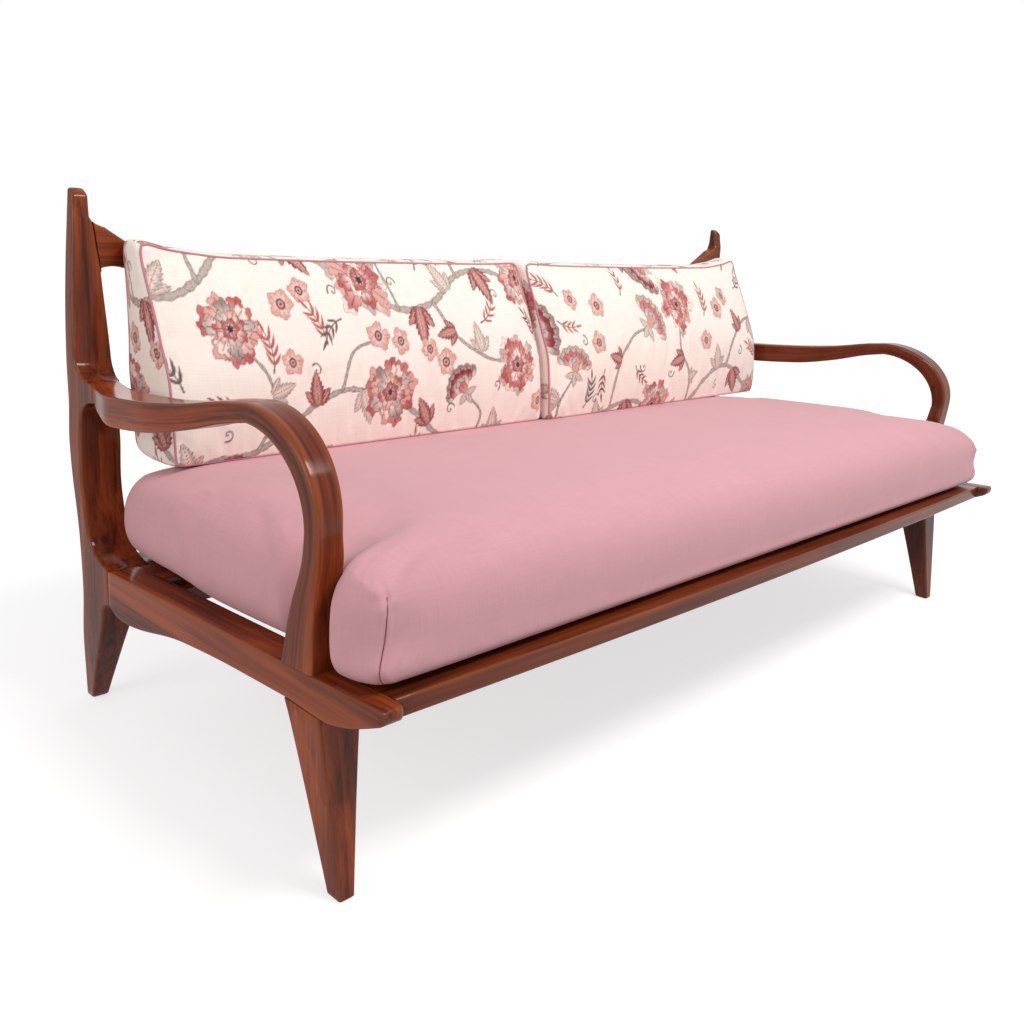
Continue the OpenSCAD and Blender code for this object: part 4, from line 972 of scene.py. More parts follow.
class Cushions:
    """The cushions' formulas, in millimetres."""

    def __init__(self, sizes, shapes):
        self.frame = shapes
        self.length = sizes.seat_length * 1000
        self.depth = sizes.seat_depth * 1000
        self.thick = sizes.seat_thickness * 1000
        self.back_height = sizes.back_height * 1000
        self.lean = math.tan(sizes.back_lean)
        self.y0, self.y1 = SEAT_FRONT, SEAT_FRONT + self.depth
        self.foot_y = shapes.back - 132
        self.foot_z = self.seat_top(self.foot_y - 66)
        self.back_inner = 6.4
        self.back_length = float(shapes.post_inner(shapes.arm_rear) - 16 - self.back_inner)

    # Seat cushion
    def front_corner(self, h):
        """Radius of the seat cushion's front corners in plan: a curve of the level that opens
        towards the top."""
        return curve([[0, 14], [0.5, 9], [0.66, 18], [0.8, 40], [1, 56]], h)

    def end_draw(self, y):
        """How far the seat cushion's end is drawn in along its depth: to inside the arm between
        the two places of PRESS, and a little elsewhere."""
        depth = self.length / 2 - (self.frame.half - 46) + 2.7
        f, b = PRESS
        return curve([[self.y0, 21], [f - 52, 6], [f - 20, 0], [f - 8, 8], [f, depth], [b, depth],
                      [b + 34, 19], [b + 140, 17], [self.y1 - 180, 22], [self.y1, 36]], y)

    def end_lift(self, y, h):
        """How much less it is drawn in ahead of the arm, as a share of the end's inset, so that
        the front corner stays full."""
        inset = curve(END, h)
        return np.where(h < FULLEST, 0.55 * inset * (1 - ease((y - PRESS[0]) / 110)),
                        np.minimum(0.4 * inset, 16) * (1 - ease((y - PRESS[0] + 60) / 60)))

    def seat_top(self, y):
        """Height of the seat cushion's top, away from its ends, at a given y."""
        f = self.frame
        s, c = math.sin(f.pitch), math.cos(f.pitch)
        guess = (y - f.front - self.thick * s) / c
        u = (y - f.front - self.thick * curve(FACE_CROWN, self.y1 - guess) * s) / c
        return f.rail - u * s + (self.thick * curve(FACE_CROWN, self.y1 - u) + ON_SLATS) * c

    def seat_plan(self, u, v, h):
        """Place in plan of a point at shares u and v of the section at level h."""
        half_x = self.length / 2 - curve(END, h)
        y0, y1 = self.y0 + curve(FACE, h), self.y1 - curve(FACE, h)
        return round_corners(u * half_x, mix(y0, y1, v), half_x, y0, y1, self.front_corner(h), 62)

    def crown(self, x, y):
        """Level of the top: how far it lies below its full height is the cubic mean of how far
        the three nearest edges pull it down."""
        edges = ((END_CROWN, self.length / 2 - np.abs(x)), (FACE_CROWN, y - self.y0),
                 (FACE_CROWN, self.y1 - y))
        return 1 - sum((1 - curve(profile, d)) ** 3 for profile, d in edges) ** (1 / 3)

    def seat_points(self):
        """Seat cushion as a pressed box: its walls follow the inset curves up to the rim, its top
        is the crown, and its ends are drawn in round the arms."""
        along = steps((32, 8), (62, 4), (130, 5), (940, 50)) / 940
        across = steps((32, 8), (76, 6), (88, 4), (106, 8), (180, 10), (220, 9), (250, 4), (650, 24),
                       (700, 5), (712, 2)) / 712
        cells = 2 * (len(along) - 1), len(across) - 1, len(SEAT_LEVELS) - 1
        lattice, sides = box_lattice(*cells)
        i, j, k = lattice.T
        u, v, rim = np.append(along - 1, 1 - along[-2::-1])[i], across[j], SEAT_LEVELS[-1]
        x, y = self.seat_plan(u, v, SEAT_LEVELS[k])
        wall = SEAT_LEVELS[k] / rim * self.crown(*self.seat_plan(u, v, np.full(len(u), rim)))
        level = np.where(k == cells[2], self.crown(x, y), wall)
        flat = (x * MM, y * MM, level * self.thick * MM)
        from_front, from_end, inset = y - self.y0, self.length / 2 - np.abs(x), curve(END, level)

        # Drawn in round the arms, and less so below
        edge = self.length / 2 - curve(END, np.minimum(level, 0.9999)) - np.abs(x)
        near = mix(np.clip(1 - edge / 140, 0, 1), ease(1 - edge / 160), 0.7)
        behind = ease((y - PRESS[1]) / 30) * (1 - ease((y - 420) / 160))
        draw = (ease((150 - inset) / 118) * self.end_draw(y) - self.end_lift(y, level)
                - 0.42 * inset * (level < FULLEST) * behind)
        corner = bell(np.hypot(from_end - 20, from_front) / 75) * (1 - ease(level / 0.4))
        x = x - np.sign(x) * (near * draw - 22 * corner)

        # Valley beside the arm, sag of the right end, lift of the front's lower edge
        valley = (7 * bell((y - PRESS[0] - 20 - 0.35 * from_end) / 46) * ease((level - 0.6) / 0.3)
                  * bell(from_end / 130))
        sag = 19 * (x > 0) * bell(from_end / 165) * ease((level - 0.2) / 0.6)
        bulge = curve([[0, 0], [0.1, 5], [0.33, 9], [0.53, 4], [0.7, -4], [0.78, -3], [0.88, 0],
                       [1, 0]], level)
        y = y + bulge * bell(np.hypot(from_end, from_front) / 60)
        rise = (8 * bell((y - self.y0) / 40) + 2 * corner) * (1 - ease(level / 0.35))
        z = level * self.thick + ON_SLATS - valley - sag + rise
        return self.frame.on_seat(np.stack([x, y, z], -1)), lattice, sides, level, flat, cells

    # Back cushions
    def middle(self, h):
        """Middle plane of a back cushion: leans back, and bows forward on half a sine."""
        return self.foot_y + h * self.lean - 9 * np.sin(np.pi * np.clip(h / self.back_height, 0, 1))

    def half_thickness(self, h):
        """Half the thickness of a back cushion: a curve of the height, less towards the top."""
        return curve([[0, 64], [40, 66], [120, 66], [self.back_height * 0.62, mix(56, 132, 0.6) / 2],
                      [self.back_height, 28], [self.back_height + 40, 25]], h)

    def top_edge(self, d):
        """How far the top edge stands up, by the distance from the outer end."""
        n = self.back_length
        return curve([[0, 24], [60, 12], [160, 2.9], [n / 2, 0], [n - 120, 1], [n, 5]], d)

    def back_place(self, x, h, share, puff, side):
        """Point of a back cushion: x from the middle of its length towards its outer end, h over
        its foot, share from -1 at the rear piping to 1 at the front one. The right one sits
        further forward, and its face spreads a little in front of the post."""
        lead, spread = (14, 9) if side > 0 else (0, 0)
        d = self.back_length / 2 - x
        up = np.clip(h / self.back_height, 0, 1)
        h = h + up * self.top_edge(d)
        inward = 14 * np.clip(d / self.back_length, 0, 1)
        y = self.middle(h) - share * (self.half_thickness(h) + inward / 2) - inward / 2 - puff - lead
        z = self.foot_z + h
        wide = spread * np.clip((share + 0.2) / 1.2, 0, 1) * np.clip(1 - d / 90, 0, 1) * np.sin(np.pi * up)
        across = (x + wide + self.back_length / 2 + self.back_inner) * side + 8
        return np.stack([across, y, np.where(h < 40, np.maximum(z, self.seat_top(y) + 0.3), z)], -1)


def cushion_shapes():
    """The cushions' formulas at the panel's sizes."""
    return Cushions(bpy.context.scene.sofa_cushions, frame_shapes())


class SOFA_OT_seat_cushion(bpy.types.Operator):
    """Linen seat cushion, pressed in round the arms, with its corner seams"""
    bl_idname = "sofa.seat_cushion"
    bl_label = "Seat Cushion"

    def execute(self, context):
        scene, finish = context.scene, context.scene.sofa_finish
        points, lattice, sides, level, flat, (nx, _, nz) = cushion_shapes().seat_points()
        i, j, k = lattice.T
        linen = cloth("rose linen", finish.linen, mapped=True)
        piece = new_piece("seat_cushion_linen", points * MM, np.concatenate(sides), "seat_cushion", linen)
        x, y, z = flat
        cloth_map(piece.data, sides, (y, y, x, x, x, x), (z, z, z, z, y, y))
        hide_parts("seat_cushion")
        # Held where the arms press, below and at the rear
        y = y / MM
        by_arm = (ease((np.abs(points[:, 0]) - 770) / 70) * ease((y - 75) / 45)
                  * (1 - ease((y - 220) / 60)) * (1 - ease((level - 0.8) / 0.17)))
        under = ((k == 0) | (level < 0.1)).astype(float)
        held = np.maximum.reduce([by_arm, under, ease((y - 500) / 40)])
        fill_out(piece, held, scene.sofa_cushions.seat_puff, 0.006)
        columns = [np.flatnonzero((i == end) & (j == 0) & (k < nz - 2))[1:] for end in (0, nx)]
        subdivide(piece, 1)
        co = coords(piece.data)
        for path, way in zip([co[at] for at in columns], (-1, 1)):
            self.corner_seam(co, path, way)
        set_coords(piece.data, co)
        # The seam is real; its thread's dark colour is painted shade of the crease along it.
        thread = cloth("seam thread in painted crease shade", finish.seam)
        for name, at in zip(("left", "right"), columns):
            seam = tube(co[at], 0.0008, 6, False)
            new_piece(f"seat_cushion_{name}_seam", *seam, "seat_cushion", thread)
        return {"FINISHED"}

    def corner_seam(self, co, path, way, dimple=0.0038, folds=0.0016, groove=0.0015):
        """Front corner: the seam draws a groove into the cloth and ends at its top in a pucker, a
        dimple with folds that run out of it like the spokes of a wheel. All three are depths."""
        near = np.flatnonzero(np.linalg.norm(co - path.mean(0), axis=1) < 0.12)
        off = co[near] - path[-1]
        far = np.linalg.norm(off, axis=1)
        turn = np.arctan2(off[:, 2], off @ np.array([1, way, 0]) / math.sqrt(2))
        line = np.concatenate([mix(path[:-1], path[1:], t) for t in (0, 0.25, 0.5, 0.75)])
        gap = np.linalg.norm(co[near][:, None] - line, axis=2).min(1)
        depth = (dimple * bell(far / 0.007)
                 + folds * np.cos(4 * turn - math.pi / 2) * bell((far - 0.014) / 0.008)
                 + groove * bell(gap / 0.003) * (1 - bell(far / 0.01)))
        co[near] += depth[:, None] * np.array([-way, 1, 0]) / math.sqrt(2)


class SOFA_OT_back_cushions(bpy.types.Operator):
    """Printed back cushions with boxed sides and rose piping"""
    bl_idname = "sofa.back_cushions"
    bl_label = "Back Cushions"

    def execute(self, context):
        scene, finish = context.scene, context.scene.sofa_finish
        printed = cloth("floral jacquard", slub=0.16, mapped=True)
        welt = cloth("rose piping", finish.welt, 0.2)
        fabric = print_fabric(np.array(finish.ground))
        for side, name, corner in ((-1, "left", (0.02, 0.06)), (1, "right", (0.47, 0.34))):
            self.cushion(side, f"{name}_back_cushion", corner, printed, welt, fabric, scene.sofa_cushions)
        return {"FINISHED"}

    def cushion(self, side, node, corner, printed, welt, fabric, sizes):
        """A pressed box: its sides swell out between the two pipings, its faces are crowned by
        their distance from the piping, and then it is filled. Its cloth is cut from the fabric
        at the given corner."""
        shapes = cushion_shapes()
        nx, ny, nz = 108, 10, 40
        lattice, sides = box_lattice(nx, ny, nz)
        i, j, k = lattice.T
        u, w, share = 2 * i / nx - 1, k / nz, 1 - 2 * j / ny
        swell = np.sqrt(1 - share * share) * 5.5
        n, height = shapes.back_length, shapes.back_height
        x, h = round_corners(u * (n / 2 + swell), mix(-swell, height + swell, w), n / 2 + swell,
                             -swell, height + swell, 16, 16)
        border = np.minimum(n / 2 - np.abs(x), height - h)
        crown = curve([[0, 0], [8, 2], [30, 9], [70, 15], [126, 18]], np.minimum(border, h))
        puff = np.select([j == 0, j == ny], [crown, -0.72 * crown])
        place = shapes.back_place(x, h, share, puff, side)
        piece = new_piece(f"{node}_cloth", place * MM, np.concatenate(sides), node, printed)
        s, t = corner
        along, up, across = x * MM * side + 0.44 + s, h * MM + t, share * 0.06
        cloth_map(piece.data, sides, (0.5 + across + s,) * 2 + (along, 0.9 - along + 2 * s, along, along),
                  (up, up, up, up + 0.3, 0.33 + across + t, 0.33 + across + t))
        # Only the face is free; the boxed sides are half held
        front = (j == 0) & (border > 1) & (h > 4)
        held = np.where(front, 0, np.where((j > 0) & (j < ny) & (k > 0), 0.75, 1.0))
        fill_out(piece, held, sizes.puff, 0.014)
        subdivide(piece, 2)
        fabric_colours(piece.data, fabric)
        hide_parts(node)
        made = coords(piece.data)
        for where, column in (("front", 0), ("rear", ny)):
            on = np.flatnonzero((j == column) & ((i == 0) | (i == nx) | (k == 0) | (k == nz)))
            ring = made[on][np.argsort(np.arctan2(w[on] - 0.5, u[on] * 3))]
            lying = ring[:, 2] < ring[:, 2].min() + 0.012
            cord = tube(ring, sizes.piping / 2 * np.where(lying, 0.6, 1.0), 8, True)
            new_piece(f"{node}_{where}_piping", *cord, node, welt)


# ---------------------------------------------------------------- the print

REPEAT = (0.9, 0.64)


class Print:
    """A repeat of the cloth, painted in memory: rows and columns of 1 mm squares that wrap.
    A shape is the set of squares where its signed depth, in millimetres, is above 0."""

    def __init__(self, ground):
        self.w, self.h = int(REPEAT[0] / MM), int(REPEAT[1] / MM)
        self.rgb = np.broadcast_to(ground, (self.h, self.w, 3)).copy()

    def window(self, x, y, reach, a=0.0):
        """Rows and columns of the squares about a point, with their offsets in millimetres along
        the direction a and to its left."""
        c, r = int(round(x)), int(round(y))
        k = np.arange(-int(reach) - 2, int(reach) + 3)
        dx, dy = np.meshgrid(c + k - x, r + k - y)
        return (np.ix_((r + k) % self.h, (c + k) % self.w),
                dx * math.cos(a) + dy * math.sin(a), dy * math.cos(a) - dx * math.sin(a))

    def lay(self, at, mask, colour):
        """Colour laid over the cloth where the mask is."""
        self.rgb[at] = mix(self.rgb[at], colour, np.clip(mask, 0, 1)[..., None])

    def fill(self, at, depth, shade, rim, line, veins, vein):
        """Shape of a given depth: its filling, its veins and its rim."""
        mask = np.clip(depth + 0.5, 0, 1)
        self.lay(at, mask, shade)
        self.lay(at, mask * veins, vein)
        self.lay(at, mask * np.clip(line - depth + 0.5, 0, 1), rim)

    def petal(self, x, y, turn, reach, r, tip, root, rim, vein, lobes, notch):
        """Petal of a flower at x, y: a disc of radius r whose middle lies part of the way out,
        its edge drawn in between lobes, shaded from root to tip, with veins that fan out."""
        a, out = math.radians(turn), reach - r
        at, s, t = self.window(x + out * math.cos(a), y + out * math.sin(a), r * 1.15, a)
        angle = np.arctan2(t, s)
        nicks = notch * np.abs(np.sin(lobes * angle / 2 + 0.6)) ** 3 * (np.abs(angle) < 2.0)
        depth = r * (1 - nicks - 0.04 * np.sin(9 * angle + turn)) - np.hypot(s, t)
        ray = np.abs(np.sin(np.arctan2(t, s + out + 0.2 * r) * max(3, round(r / 4.0)) * 2.2))
        inside = (depth > 2.2) * (s < 0.55 * r) * (np.hypot(s + out, t) > 0.2 * reach)
        shade = mix(root, tip, ease((s + r) / (1.7 * r))[..., None])
        self.fill(at, depth, shade, rim, 1.1, 0.8 * np.clip((0.34 - ray) * 4, 0, 1) * inside, vein)

    def blade(self, x, y, turn, length, width, tip, root, rim, vein, cut, teeth, line=1.0, bend=0.0):
        """Leaf from its root: its half width is a power of a sine along it, nicked by teeth, with
        a midrib, side veins that run towards the tip, and a bend to one side."""
        at, s, t = self.window(x, y, length * 1.08 + 2, math.radians(turn))
        s = s / length
        t = np.abs(t - bend * length * s * s)
        q = np.clip(s, 0, 1)
        body = width * np.sin(np.pi * q ** 0.72) ** 0.8 * (1 - cut * (1 - (teeth * q + 0.15) % 1))
        depth = np.minimum(body - t, np.minimum(s, 1 - s) * length)
        pitch = max(length / (teeth * 1.5), 2.8)
        run = ((s * length - 0.8 * t) / pitch) % 1
        veins = np.maximum(np.clip(0.6 + 0.4 * line - t, 0, 1) * (s > 0.03) * (s < 0.9),
                           0.8 * np.clip(0.9 - np.abs(run - 0.5) * pitch, 0, 1) * (depth > 1.6))
        shade = mix(root, tip, ease((t / np.maximum(body, 1) - 0.1) / 0.8)[..., None])
        self.fill(at, depth, shade, rim, line, veins, vein)

    def disc(self, x, y, r, colour):
        """Disc: the squares nearer than r."""
        at, dx, dy = self.window(x, y, r + 1)
        self.lay(at, np.clip(r - np.hypot(dx, dy) + 0.5, 0, 1), colour)

    def stem(self, knots, wide, thin, rim, fill):
        """Stalk along a smooth curve through points: the distance from it, against a width that
        runs from wide to thin, gives the rim and the filling, with broken bark lines inside."""
        k = np.array(knots, float)
        m = np.gradient(k, axis=0)
        t = np.linspace(0, len(k) - 1, 10 * (len(k) - 1) + 1)
        i = np.clip(t.astype(int), 0, len(k) - 2)
        s = (t - i)[:, None]
        p = (k[i] * (1 + 2 * s) * (1 - s) ** 2 + m[i] * s * (1 - s) ** 2
             + k[i + 1] * s * s * (3 - 2 * s) - m[i + 1] * s * s * (1 - s))
        (c0, r0), (c1, r1) = (p.min(0) - wide - 3).astype(int), (p.max(0) + wide + 4).astype(int)
        gx, gy = np.meshgrid(np.arange(c0, c1), np.arange(r0, r1))
        best, way = np.full(gx.shape, 1e9), np.zeros(gx.shape)
        run = np.append(0, np.cumsum(np.linalg.norm(np.diff(p, axis=0), axis=1)))
        for a, d, start, end in zip(p, np.diff(p, axis=0), run, run[1:]):
            f = np.clip(((gx - a[0]) * d[0] + (gy - a[1]) * d[1]) / max(d @ d, 1e-9), 0, 1)
            gap = np.hypot(gx - a[0] - f * d[0], gy - a[1] - f * d[1])
            near = gap < best
            best, way = np.where(near, gap, best), np.where(near, mix(start, end, f), way)
        knots_in_bark = 1 + 0.14 * np.sin(way * 0.31) + 0.1 * np.sin(way * 0.13 + 1)
        r = mix(wide, thin, way / run[-1]) / 2 * knots_in_bark
        off = np.abs(best - r * (0.3 + 0.4 * np.sin(way * 0.23) ** 2))
        twist = 0.85 * np.clip(0.9 - off, 0, 1) * (np.sin(way * 0.55) > -0.5)
        at = np.ix_(gy[:, 0] % self.h, gx[0] % self.w)
        self.fill(at, r - best, fill, rim, 1.0 if wide > 3 else 0.5, twist, rim)


def print_fabric(ground):
    """Traditional trailing floral: two stems wander over the repeat, with open blooms, layered
    buds, toothed leaves, small five-petalled flowers, sprigs and tendrils."""
    p = Print(ground)
    cream, blush, rose, coral, wine, plum, stone, taupe, bark = (srgb(code) for code in (
        "f6e2d6", "e2aaa0", "cb7573", "bd5f5d", "8a2f3b", "5c2430", "c3b3aa", "9b8880", "6e5854"))

    def ring(x, y, turn, n, reach, r, tips, root, rim, lobes, wild=0.13):
        """Ring of n petals that are uneven in place, reach and size."""
        for k in range(n):
            a, b = math.sin(2.3 * k + 0.7 * x), math.sin(3.1 * k + 0.9 * y)
            p.petal(x, y, turn + 360 * k / n + 9 * a, reach * (1 + wild * b), r * (1 + 0.14 * a),
                    tips[k % len(tips)], root, rim, rim, lobes + (k + n) % 2, 0.16 + wild)

    def bloom(x, y, r, turn, warm):
        """Open bloom of four rings of petals, from the outermost in, and a seeded heart."""
        rings = [(22, 9, 1.04, 0.3, [stone, blush, cream], cream, taupe, 4),
                 (0, 8, 0.88, 0.3, [coral, rose, coral, blush], blush, wine, 5),
                 (14, 7, 0.6, 0.2, [rose, cream, coral], cream, wine, 4)] if warm else [
                 (22, 9, 1.0, 0.31, [rose, coral, blush], blush, wine, 4),
                 (0, 8, 0.84, 0.3, [stone, cream, taupe, blush], cream, wine, 5),
                 (14, 7, 0.56, 0.2, [coral, blush, stone], cream, wine, 4)]
        for ahead, n, reach, size, *rest in rings + [(0, 5, 0.32, 0.15, [coral], blush, plum, 3)]:
            ring(x, y, turn + ahead, n, reach * r, size * r, *rest)
        p.disc(x, y, r * 0.12, plum)
        for k in range(7):
            a = math.radians(turn + 51.4 * k)
            p.disc(x + r * 0.11 * math.cos(a), y + r * 0.11 * math.sin(a), 1.2, cream)

    def bud(x, y, r, turn, dark):
        """Layered bud: rows of scales that open upwards from a leafy cup."""
        for row in range(3, -1, -1):
            for k in sorted(range(-row, row + 1), key=lambda v: -abs(v)):
                dyes = (([rose, stone, wine, taupe] if dark else [blush, stone, rose, stone])[row],
                        cream if row % 2 else blush, wine if dark or row % 2 else bark,
                        plum if dark else wine)
                p.petal(x, y, turn + k * (30 - 3.5 * row), r * (0.46 + 0.18 * row), r * 0.21, *dyes, 3, 0.12)
        for k in (-1, 0, 1):
            p.blade(x, y, turn + 180 + 62 * k, r * 0.5, r * 0.15, stone, cream, bark, bark, 0.2, 4, 0.8,
                    0.15 * k)

    def leaf(x, y, r, turn, dark):
        """Leaf of three toothed lobes."""
        dyes = (wine, blush, wine, plum) if dark else (stone, cream, bark, wine)
        for k in (-1, 1):
            p.blade(x, y, turn + 38 * k, r * 0.66, r * 0.2, *dyes, 0.3, 5, 1.0, 0.12 * k)
        p.blade(x, y, turn, r, r * 0.27, *dyes, 0.3, 7)

    def star(x, y, r, turn):
        """Small flower of five notched petals about a dark ring."""
        ring(x, y, turn, 5, r, 0.47 * r, [blush], cream, coral, 3, 0.05)
        for size, dye in ((0.34, plum), (0.22, blush), (0.1, plum)):
            p.disc(x, y, r * size, dye)

    def sprig(x, y, r, turn, n, dye):
        """Bent stalk with pairs of small blades."""
        a = np.radians(turn + 18 * np.linspace(0, 2, n + 1))
        strides = np.stack([np.cos(a), np.sin(a)], 1) * r / (n + 1)
        path = np.cumsum(np.concatenate([[[x, y]], strides]), axis=0)
        p.stem(path, 2.4, 1.4, bark, bark)
        pairs = [(k, s) for k in range(1, n + 1) for s in (-1, 1)]
        for k, s in pairs + [(-1, 0)]:
            p.blade(*path[k], math.degrees(a[k]) + 48 * s, r * 0.38, r * 0.042, *[dye] * 4, 0, 2, 0.6,
                    -0.2 * s)

    def tendril(x, y, r, turn, way):
        """Stalk that curls up into a spiral."""
        t = np.linspace(0, 1, 9)
        a, far = np.radians(turn + way * 400 * t ** 1.3), r * (1 - t) ** 0.8
        p.stem(np.stack([x + far * np.cos(a), y + far * np.sin(a)], 1), 2.6, 1.8, bark, bark)

    for path, wide, thin in [
            ([(-40, 330), (40, 300), (110, 330), (190, 400), (270, 420), (350, 380), (430, 330)], 13, 8),
            ([(430, 330), (510, 290), (600, 300), (690, 350), (780, 360), (860, 330)], 12, 9),
            ([(20, 20), (90, 60), (180, 70), (260, 120), (350, 160), (440, 150)], 12, 8),
            ([(440, 150), (520, 110), (590, 60), (680, 30), (780, 50), (920, 20)], 11, 8),
            ([(180, 70), (210, 130), (200, 190), (160, 235)], 7, 4.5),
            ([(270, 420), (300, 480), (370, 520), (440, 520)], 8, 5),
            ([(600, 300), (640, 240), (710, 200), (770, 190)], 8, 5),
            ([(690, 350), (700, 430), (760, 500), (830, 520)], 8, 5),
            ([(110, 330), (100, 410), (60, 470), (70, 540)], 8, 5),
            ([(350, 160), (380, 220), (440, 240)], 6, 4),
            ([(680, 30), (700, 90), (660, 130)], 6, 4),
            ([(510, 290), (500, 370), (540, 430)], 6, 4)]:
        p.stem(path, wide, thin, bark, stone)

    # Each motif's places: x, y, size, direction, then its kind where it has two
    for motif, places in [
            (leaf, [(230, 414, 62, 95, 0), (300, 408, 72, 300, 1), (395, 352, 60, 60, 0),
                    (560, 292, 70, 265, 1), (650, 322, 60, 110, 0), (745, 362, 70, 285, 1),
                    (30, 306, 58, 60, 0), (60, 42, 58, 110, 0), (130, 66, 70, 285, 1),
                    (300, 138, 58, 95, 1), (400, 158, 66, 285, 0), (560, 84, 60, 120, 1),
                    (740, 42, 62, 95, 0), (830, 38, 66, 290, 1), (205, 160, 50, 20, 0),
                    (340, 500, 56, 110, 1), (400, 520, 56, 285, 0), (700, 210, 56, 95, 0),
                    (720, 455, 54, 165, 1), (72, 450, 58, 195, 1), (98, 400, 46, 15, 0),
                    (500, 380, 50, 160, 0), (640, 250, 50, 190, 1)]),
            (bloom, [(440, 340, 66, 12, 1), (862, 345, 61, 40, 0), (146, 262, 57, 5, 0),
                     (462, 150, 63, 30, 0), (796, 182, 58, 20, 1), (76, 568, 63, 15, 1)]),
            (bud, [(448, 520, 72, 25, 1), (836, 522, 70, 40, 0), (8, 16, 66, 215, 1),
                   (545, 436, 58, 80, 0), (654, 136, 56, 130, 1)]),
            (star, [(446, 246, 26, 10), (496, 236, 23, 40), (254, 300, 26, 0), (300, 322, 23, 30),
                    (604, 196, 26, 20), (564, 220, 22, 50), (254, 556, 26, 8), (298, 584, 23, 44),
                    (660, 570, 26, 15), (866, 106, 25, 5), (330, 40, 25, 12), (634, 496, 25, 33),
                    (176, 484, 25, 25), (576, 584, 22, 60), (250, 210, 22, 20)])]:
        for place in places:
            motif(*place)
    for x, y, r, a, n in [
            (210, 196, 54, 75, 5), (330, 236, 54, 95, 5), (372, 276, 48, 200, 4), (520, 10, 50, 60, 4),
            (590, 360, 56, 60, 5), (712, 262, 50, 20, 4), (140, 140, 48, 150, 4), (50, 170, 54, 110, 5),
            (240, 14, 44, 20, 4), (420, 50, 50, 200, 4), (420, 424, 54, 120, 5), (186, 540, 54, 60, 5),
            (650, 440, 48, 250, 4), (372, 596, 50, 10, 4), (540, 590, 54, 130, 5), (760, 590, 50, 60, 4),
            (880, 224, 50, 100, 5), (30, 226, 44, 200, 4), (520, 540, 46, 330, 4), (770, 440, 46, 300, 4)]:
        sprig(x, y, r * 1.15, a, n - 1, (wine, bark, coral)[(x + n) % 3])
    for place in [(236, 372, 14, 90, 1), (372, 322, 13, 200, -1), (628, 376, 14, 30, 1),
                  (300, 196, 13, 140, -1), (512, 336, 12, 0, 1), (120, 104, 12, 250, 1),
                  (776, 314, 13, 200, -1), (612, 108, 13, 20, 1), (330, 452, 13, 80, -1),
                  (800, 436, 13, 160, 1), (20, 416, 13, 10, -1), (736, 146, 12, 300, 1),
                  (586, 500, 12, 90, -1), (190, 30, 12, 45, 1)]:
        tendril(*place)
    return p.rgb


def fabric_colours(mesh, fabric):
    """Colour of each corner from where it lies on the fabric, between the four squares near it."""
    uv = np.empty(len(mesh.loops) * 2, np.float32)
    mesh.uv_layers["cloth"].data.foreach_get("uv", uv)
    s, t = uv.reshape(-1, 2).T / MM
    c, r = np.floor(s).astype(int), np.floor(t).astype(int)
    fs, ft = (s - c)[:, None], (t - r)[:, None]
    h, w = fabric.shape[:2]
    rgb = 0
    for b, across in ((0, 1 - ft), (1, ft)):
        for a, along in ((0, 1 - fs), (1, fs)):
            rgb = rgb + fabric[(r + b) % h, (c + a) % w] * across * along
    layer = mesh.attributes.new("print", "FLOAT_COLOR", "CORNER")
    rgba = np.concatenate([rgb, np.ones((len(rgb), 1))], 1)
    layer.data.foreach_set("color", rgba.astype(np.float32).ravel())


# ---------------------------------------------------------------- stage

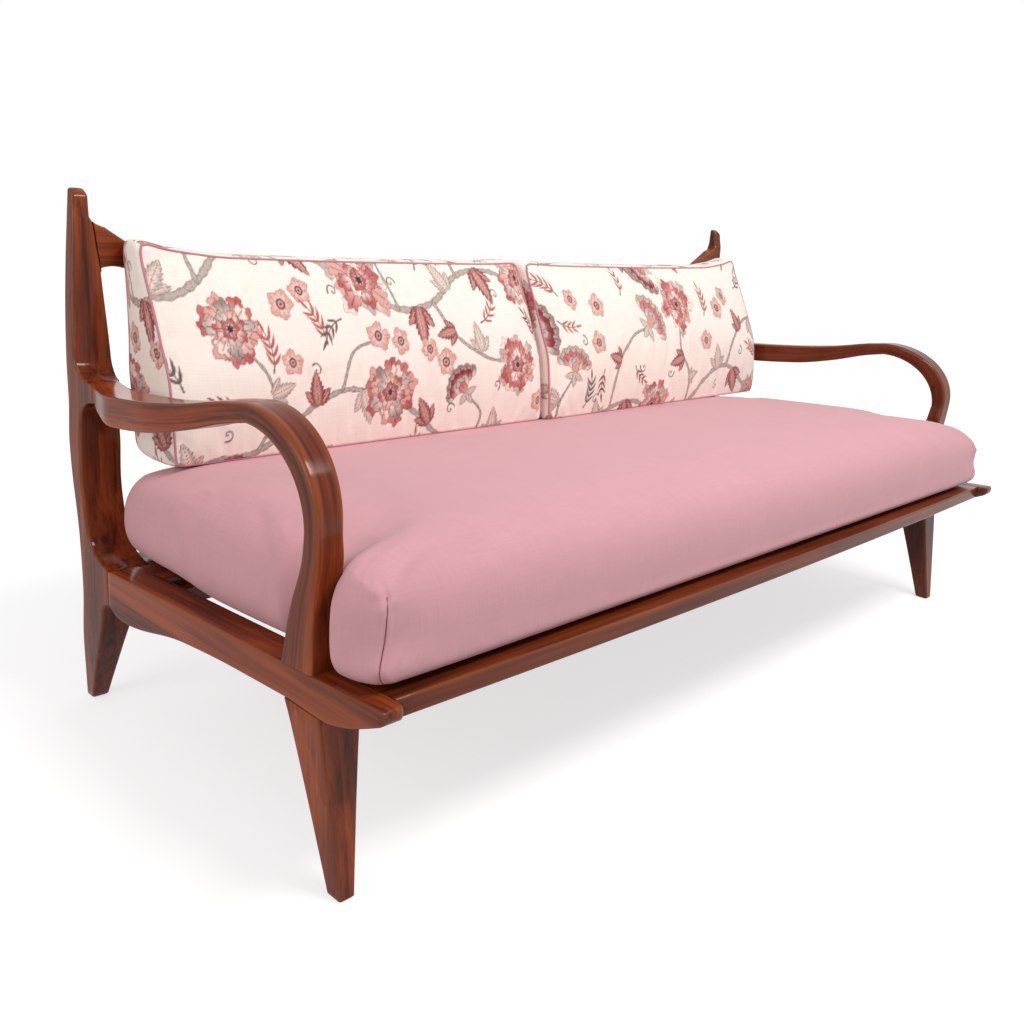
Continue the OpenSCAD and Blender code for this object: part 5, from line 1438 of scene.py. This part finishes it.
class SOFA_OT_stage(bpy.types.Operator):
    """Pale floor, soft studio light and the camera"""
    bl_idname = "sofa.stage"
    bl_label = "Stage"

    def execute(self, context):
        scene, finish = context.scene, context.scene.sofa_finish
        scene.view_settings.view_transform = "Standard"
        self.camera(scene)
        self.floor(scene, finish.floor_shade)
        self.world(scene)
        for name, place, aim, size, power, colour in [
                ("key", (0.3, -1.75, 3.15), (0, 0, 0.4), (1.7, 0.8), 74, (1, 0.99, 0.975)),
                ("side", (-3.2, 0, 1.4), (-0.5, 0, 0.4), (1.5, 1.5), 22, (1, 0.97, 0.94)),
                ("rear", (1.6, 3.4, 1.3), (0, 0, 0.5), (4.2, 1.4), 8, (0.99, 0.99, 1))]:
            light = bpy.data.lights.new(name, "AREA")
            light.shape = "RECTANGLE"
            light.size, light.size_y = size
            light.energy = power
            light.color = colour
            lamp = self.placed(scene, name, light)
            lamp.location = place
            lamp.rotation_euler = (Vector(aim) - Vector(place)).to_track_quat("-Z", "Y").to_euler()
        return {"FINISHED"}

    def placed(self, scene, name, data):
        """Object of the scene with the given data."""
        made = bpy.data.objects.new(name, data)
        scene.collection.objects.link(made)
        return made

    def camera(self, scene, place=(-1.6149, -1.1352, 0.8249), angles=(42.70, 16.07, 3.14), lens=34.82):
        """Camera where the photograph was taken: level axes from yaw and pitch, turned by the
        roll, with the picture's middle shifted as it was cropped."""
        yaw, pitch, roll = (math.radians(a) for a in angles)
        ahead = Vector((math.sin(yaw) * math.cos(pitch), math.cos(yaw) * math.cos(pitch), -math.sin(pitch)))
        level = Vector((math.cos(yaw), -math.sin(yaw), 0))
        upright = level.cross(ahead)
        right = math.cos(roll) * level + math.sin(roll) * upright
        up = math.cos(roll) * upright - math.sin(roll) * level
        data = bpy.data.cameras.new("camera")
        data.sensor_width, data.lens = 36, lens
        data.shift_x, data.shift_y = 0.109, -0.004
        data.clip_start, data.clip_end = 0.05, 60
        scene.camera = self.placed(scene, "camera", data)
        axes = Matrix((right, up, -ahead)).transposed().to_4x4()
        scene.camera.matrix_world = Matrix.Translation(place) @ axes

    def floor(self, scene, shade):
        """Large floor. Part of its white is its own, so that shadows stay pale, and this part
        grows away from the sofa, where the lamps no longer reach."""
        reach = 14.0
        mesh = bpy.data.meshes.new("floor")
        mesh.from_pydata([(x * reach, y * reach, 0) for x, y in ((-1, -1), (1, -1), (1, 1), (-1, 1))],
                         [], [(0, 1, 2, 3)])
        material, tree, shader = new_material("studio floor")
        place = add(tree, "TexCoord").outputs["Object"]
        cloud = add(tree, "TexNoise", place, Scale=3.0, Detail=2.0).outputs["Fac"]
        put(shader, Base_Color=mix_node(tree, cloud, (shade,) * 3, (shade * 1.02,) * 3), Roughness=1.0,
            Specular_IOR_Level=0.0)
        away = add(tree, "VectorMath", place, operation="LENGTH").outputs["Value"]
        own = total(tree, 0.66, (ramp(tree, away, 1.0, 2.8), 0.15))
        glow = add(tree, "Emission", (1, 1, 1, 1), total(tree, 0.0, (plain_rays(tree), own)))
        both = add(tree, "AddShader", shader.outputs[0], glow.outputs[0])
        put(tree.nodes["Material Output"], Surface=both.outputs[0])
        mesh.materials.append(material)
        self.placed(scene, "floor", mesh)

    def world(self, scene):
        """Soft light from all round, and plain white to the camera and in reflections."""
        scene.world = bpy.data.worlds.new("studio")
        scene.world.use_nodes = True
        tree = scene.world.node_tree
        light = total(tree, 0.45, (plain_rays(tree), 0.55))
        put(tree.nodes["Background"], Color=(1, 1, 1, 1), Strength=light)


class SOFA_PT_panel(bpy.types.Panel):
    """Lists the sofa's sizes, colours and pieces"""
    bl_idname = "SOFA_PT_panel"
    bl_label = "Teak Sofa"
    bl_space_type = "VIEW_3D"
    bl_region_type = "UI"
    bl_category = "Sofa"

    def draw(self, context):
        for label, group in (("Frame", context.scene.sofa_frame), ("Cushions", context.scene.sofa_cushions),
                             ("Finish", context.scene.sofa_finish)):
            box = self.layout.box()
            box.label(text=label)
            for key in group.__annotations__:
                box.prop(group, key)
        for operator in OPERATORS:
            self.layout.operator(operator.bl_idname)


GROUPS = (("sofa_frame", SOFA_PG_frame), ("sofa_cushions", SOFA_PG_cushions), ("sofa_finish", SOFA_PG_finish))
OPERATORS = (SOFA_OT_posts, SOFA_OT_side_rails, SOFA_OT_legs, SOFA_OT_arms, SOFA_OT_crest, SOFA_OT_front_rail,
             SOFA_OT_seat_cushion, SOFA_OT_back_cushions, SOFA_OT_straight_wood, SOFA_OT_stage)
CLASSES = (*OPERATORS, SOFA_PT_panel)


def register():
    """Adds the settings, the operators and the panel."""
    for name, group in GROUPS:
        bpy.utils.register_class(group)
        setattr(bpy.types.Scene, name, PointerProperty(type=group))
    for cls in CLASSES:
        bpy.utils.register_class(cls)


def unregister():
    """Takes them away again."""
    for cls in reversed(CLASSES):
        bpy.utils.unregister_class(cls)
    for name, group in reversed(GROUPS):
        delattr(bpy.types.Scene, name)
        bpy.utils.unregister_class(group)


def main():
    """Makes the sofa and its stage."""
    register()
    wood_figure()
    cloth_weave()
    for cls in OPERATORS:
        section, name = cls.bl_idname.split(".")
        getattr(getattr(bpy.ops, section), name)()


if __name__ == "__main__":
    main()
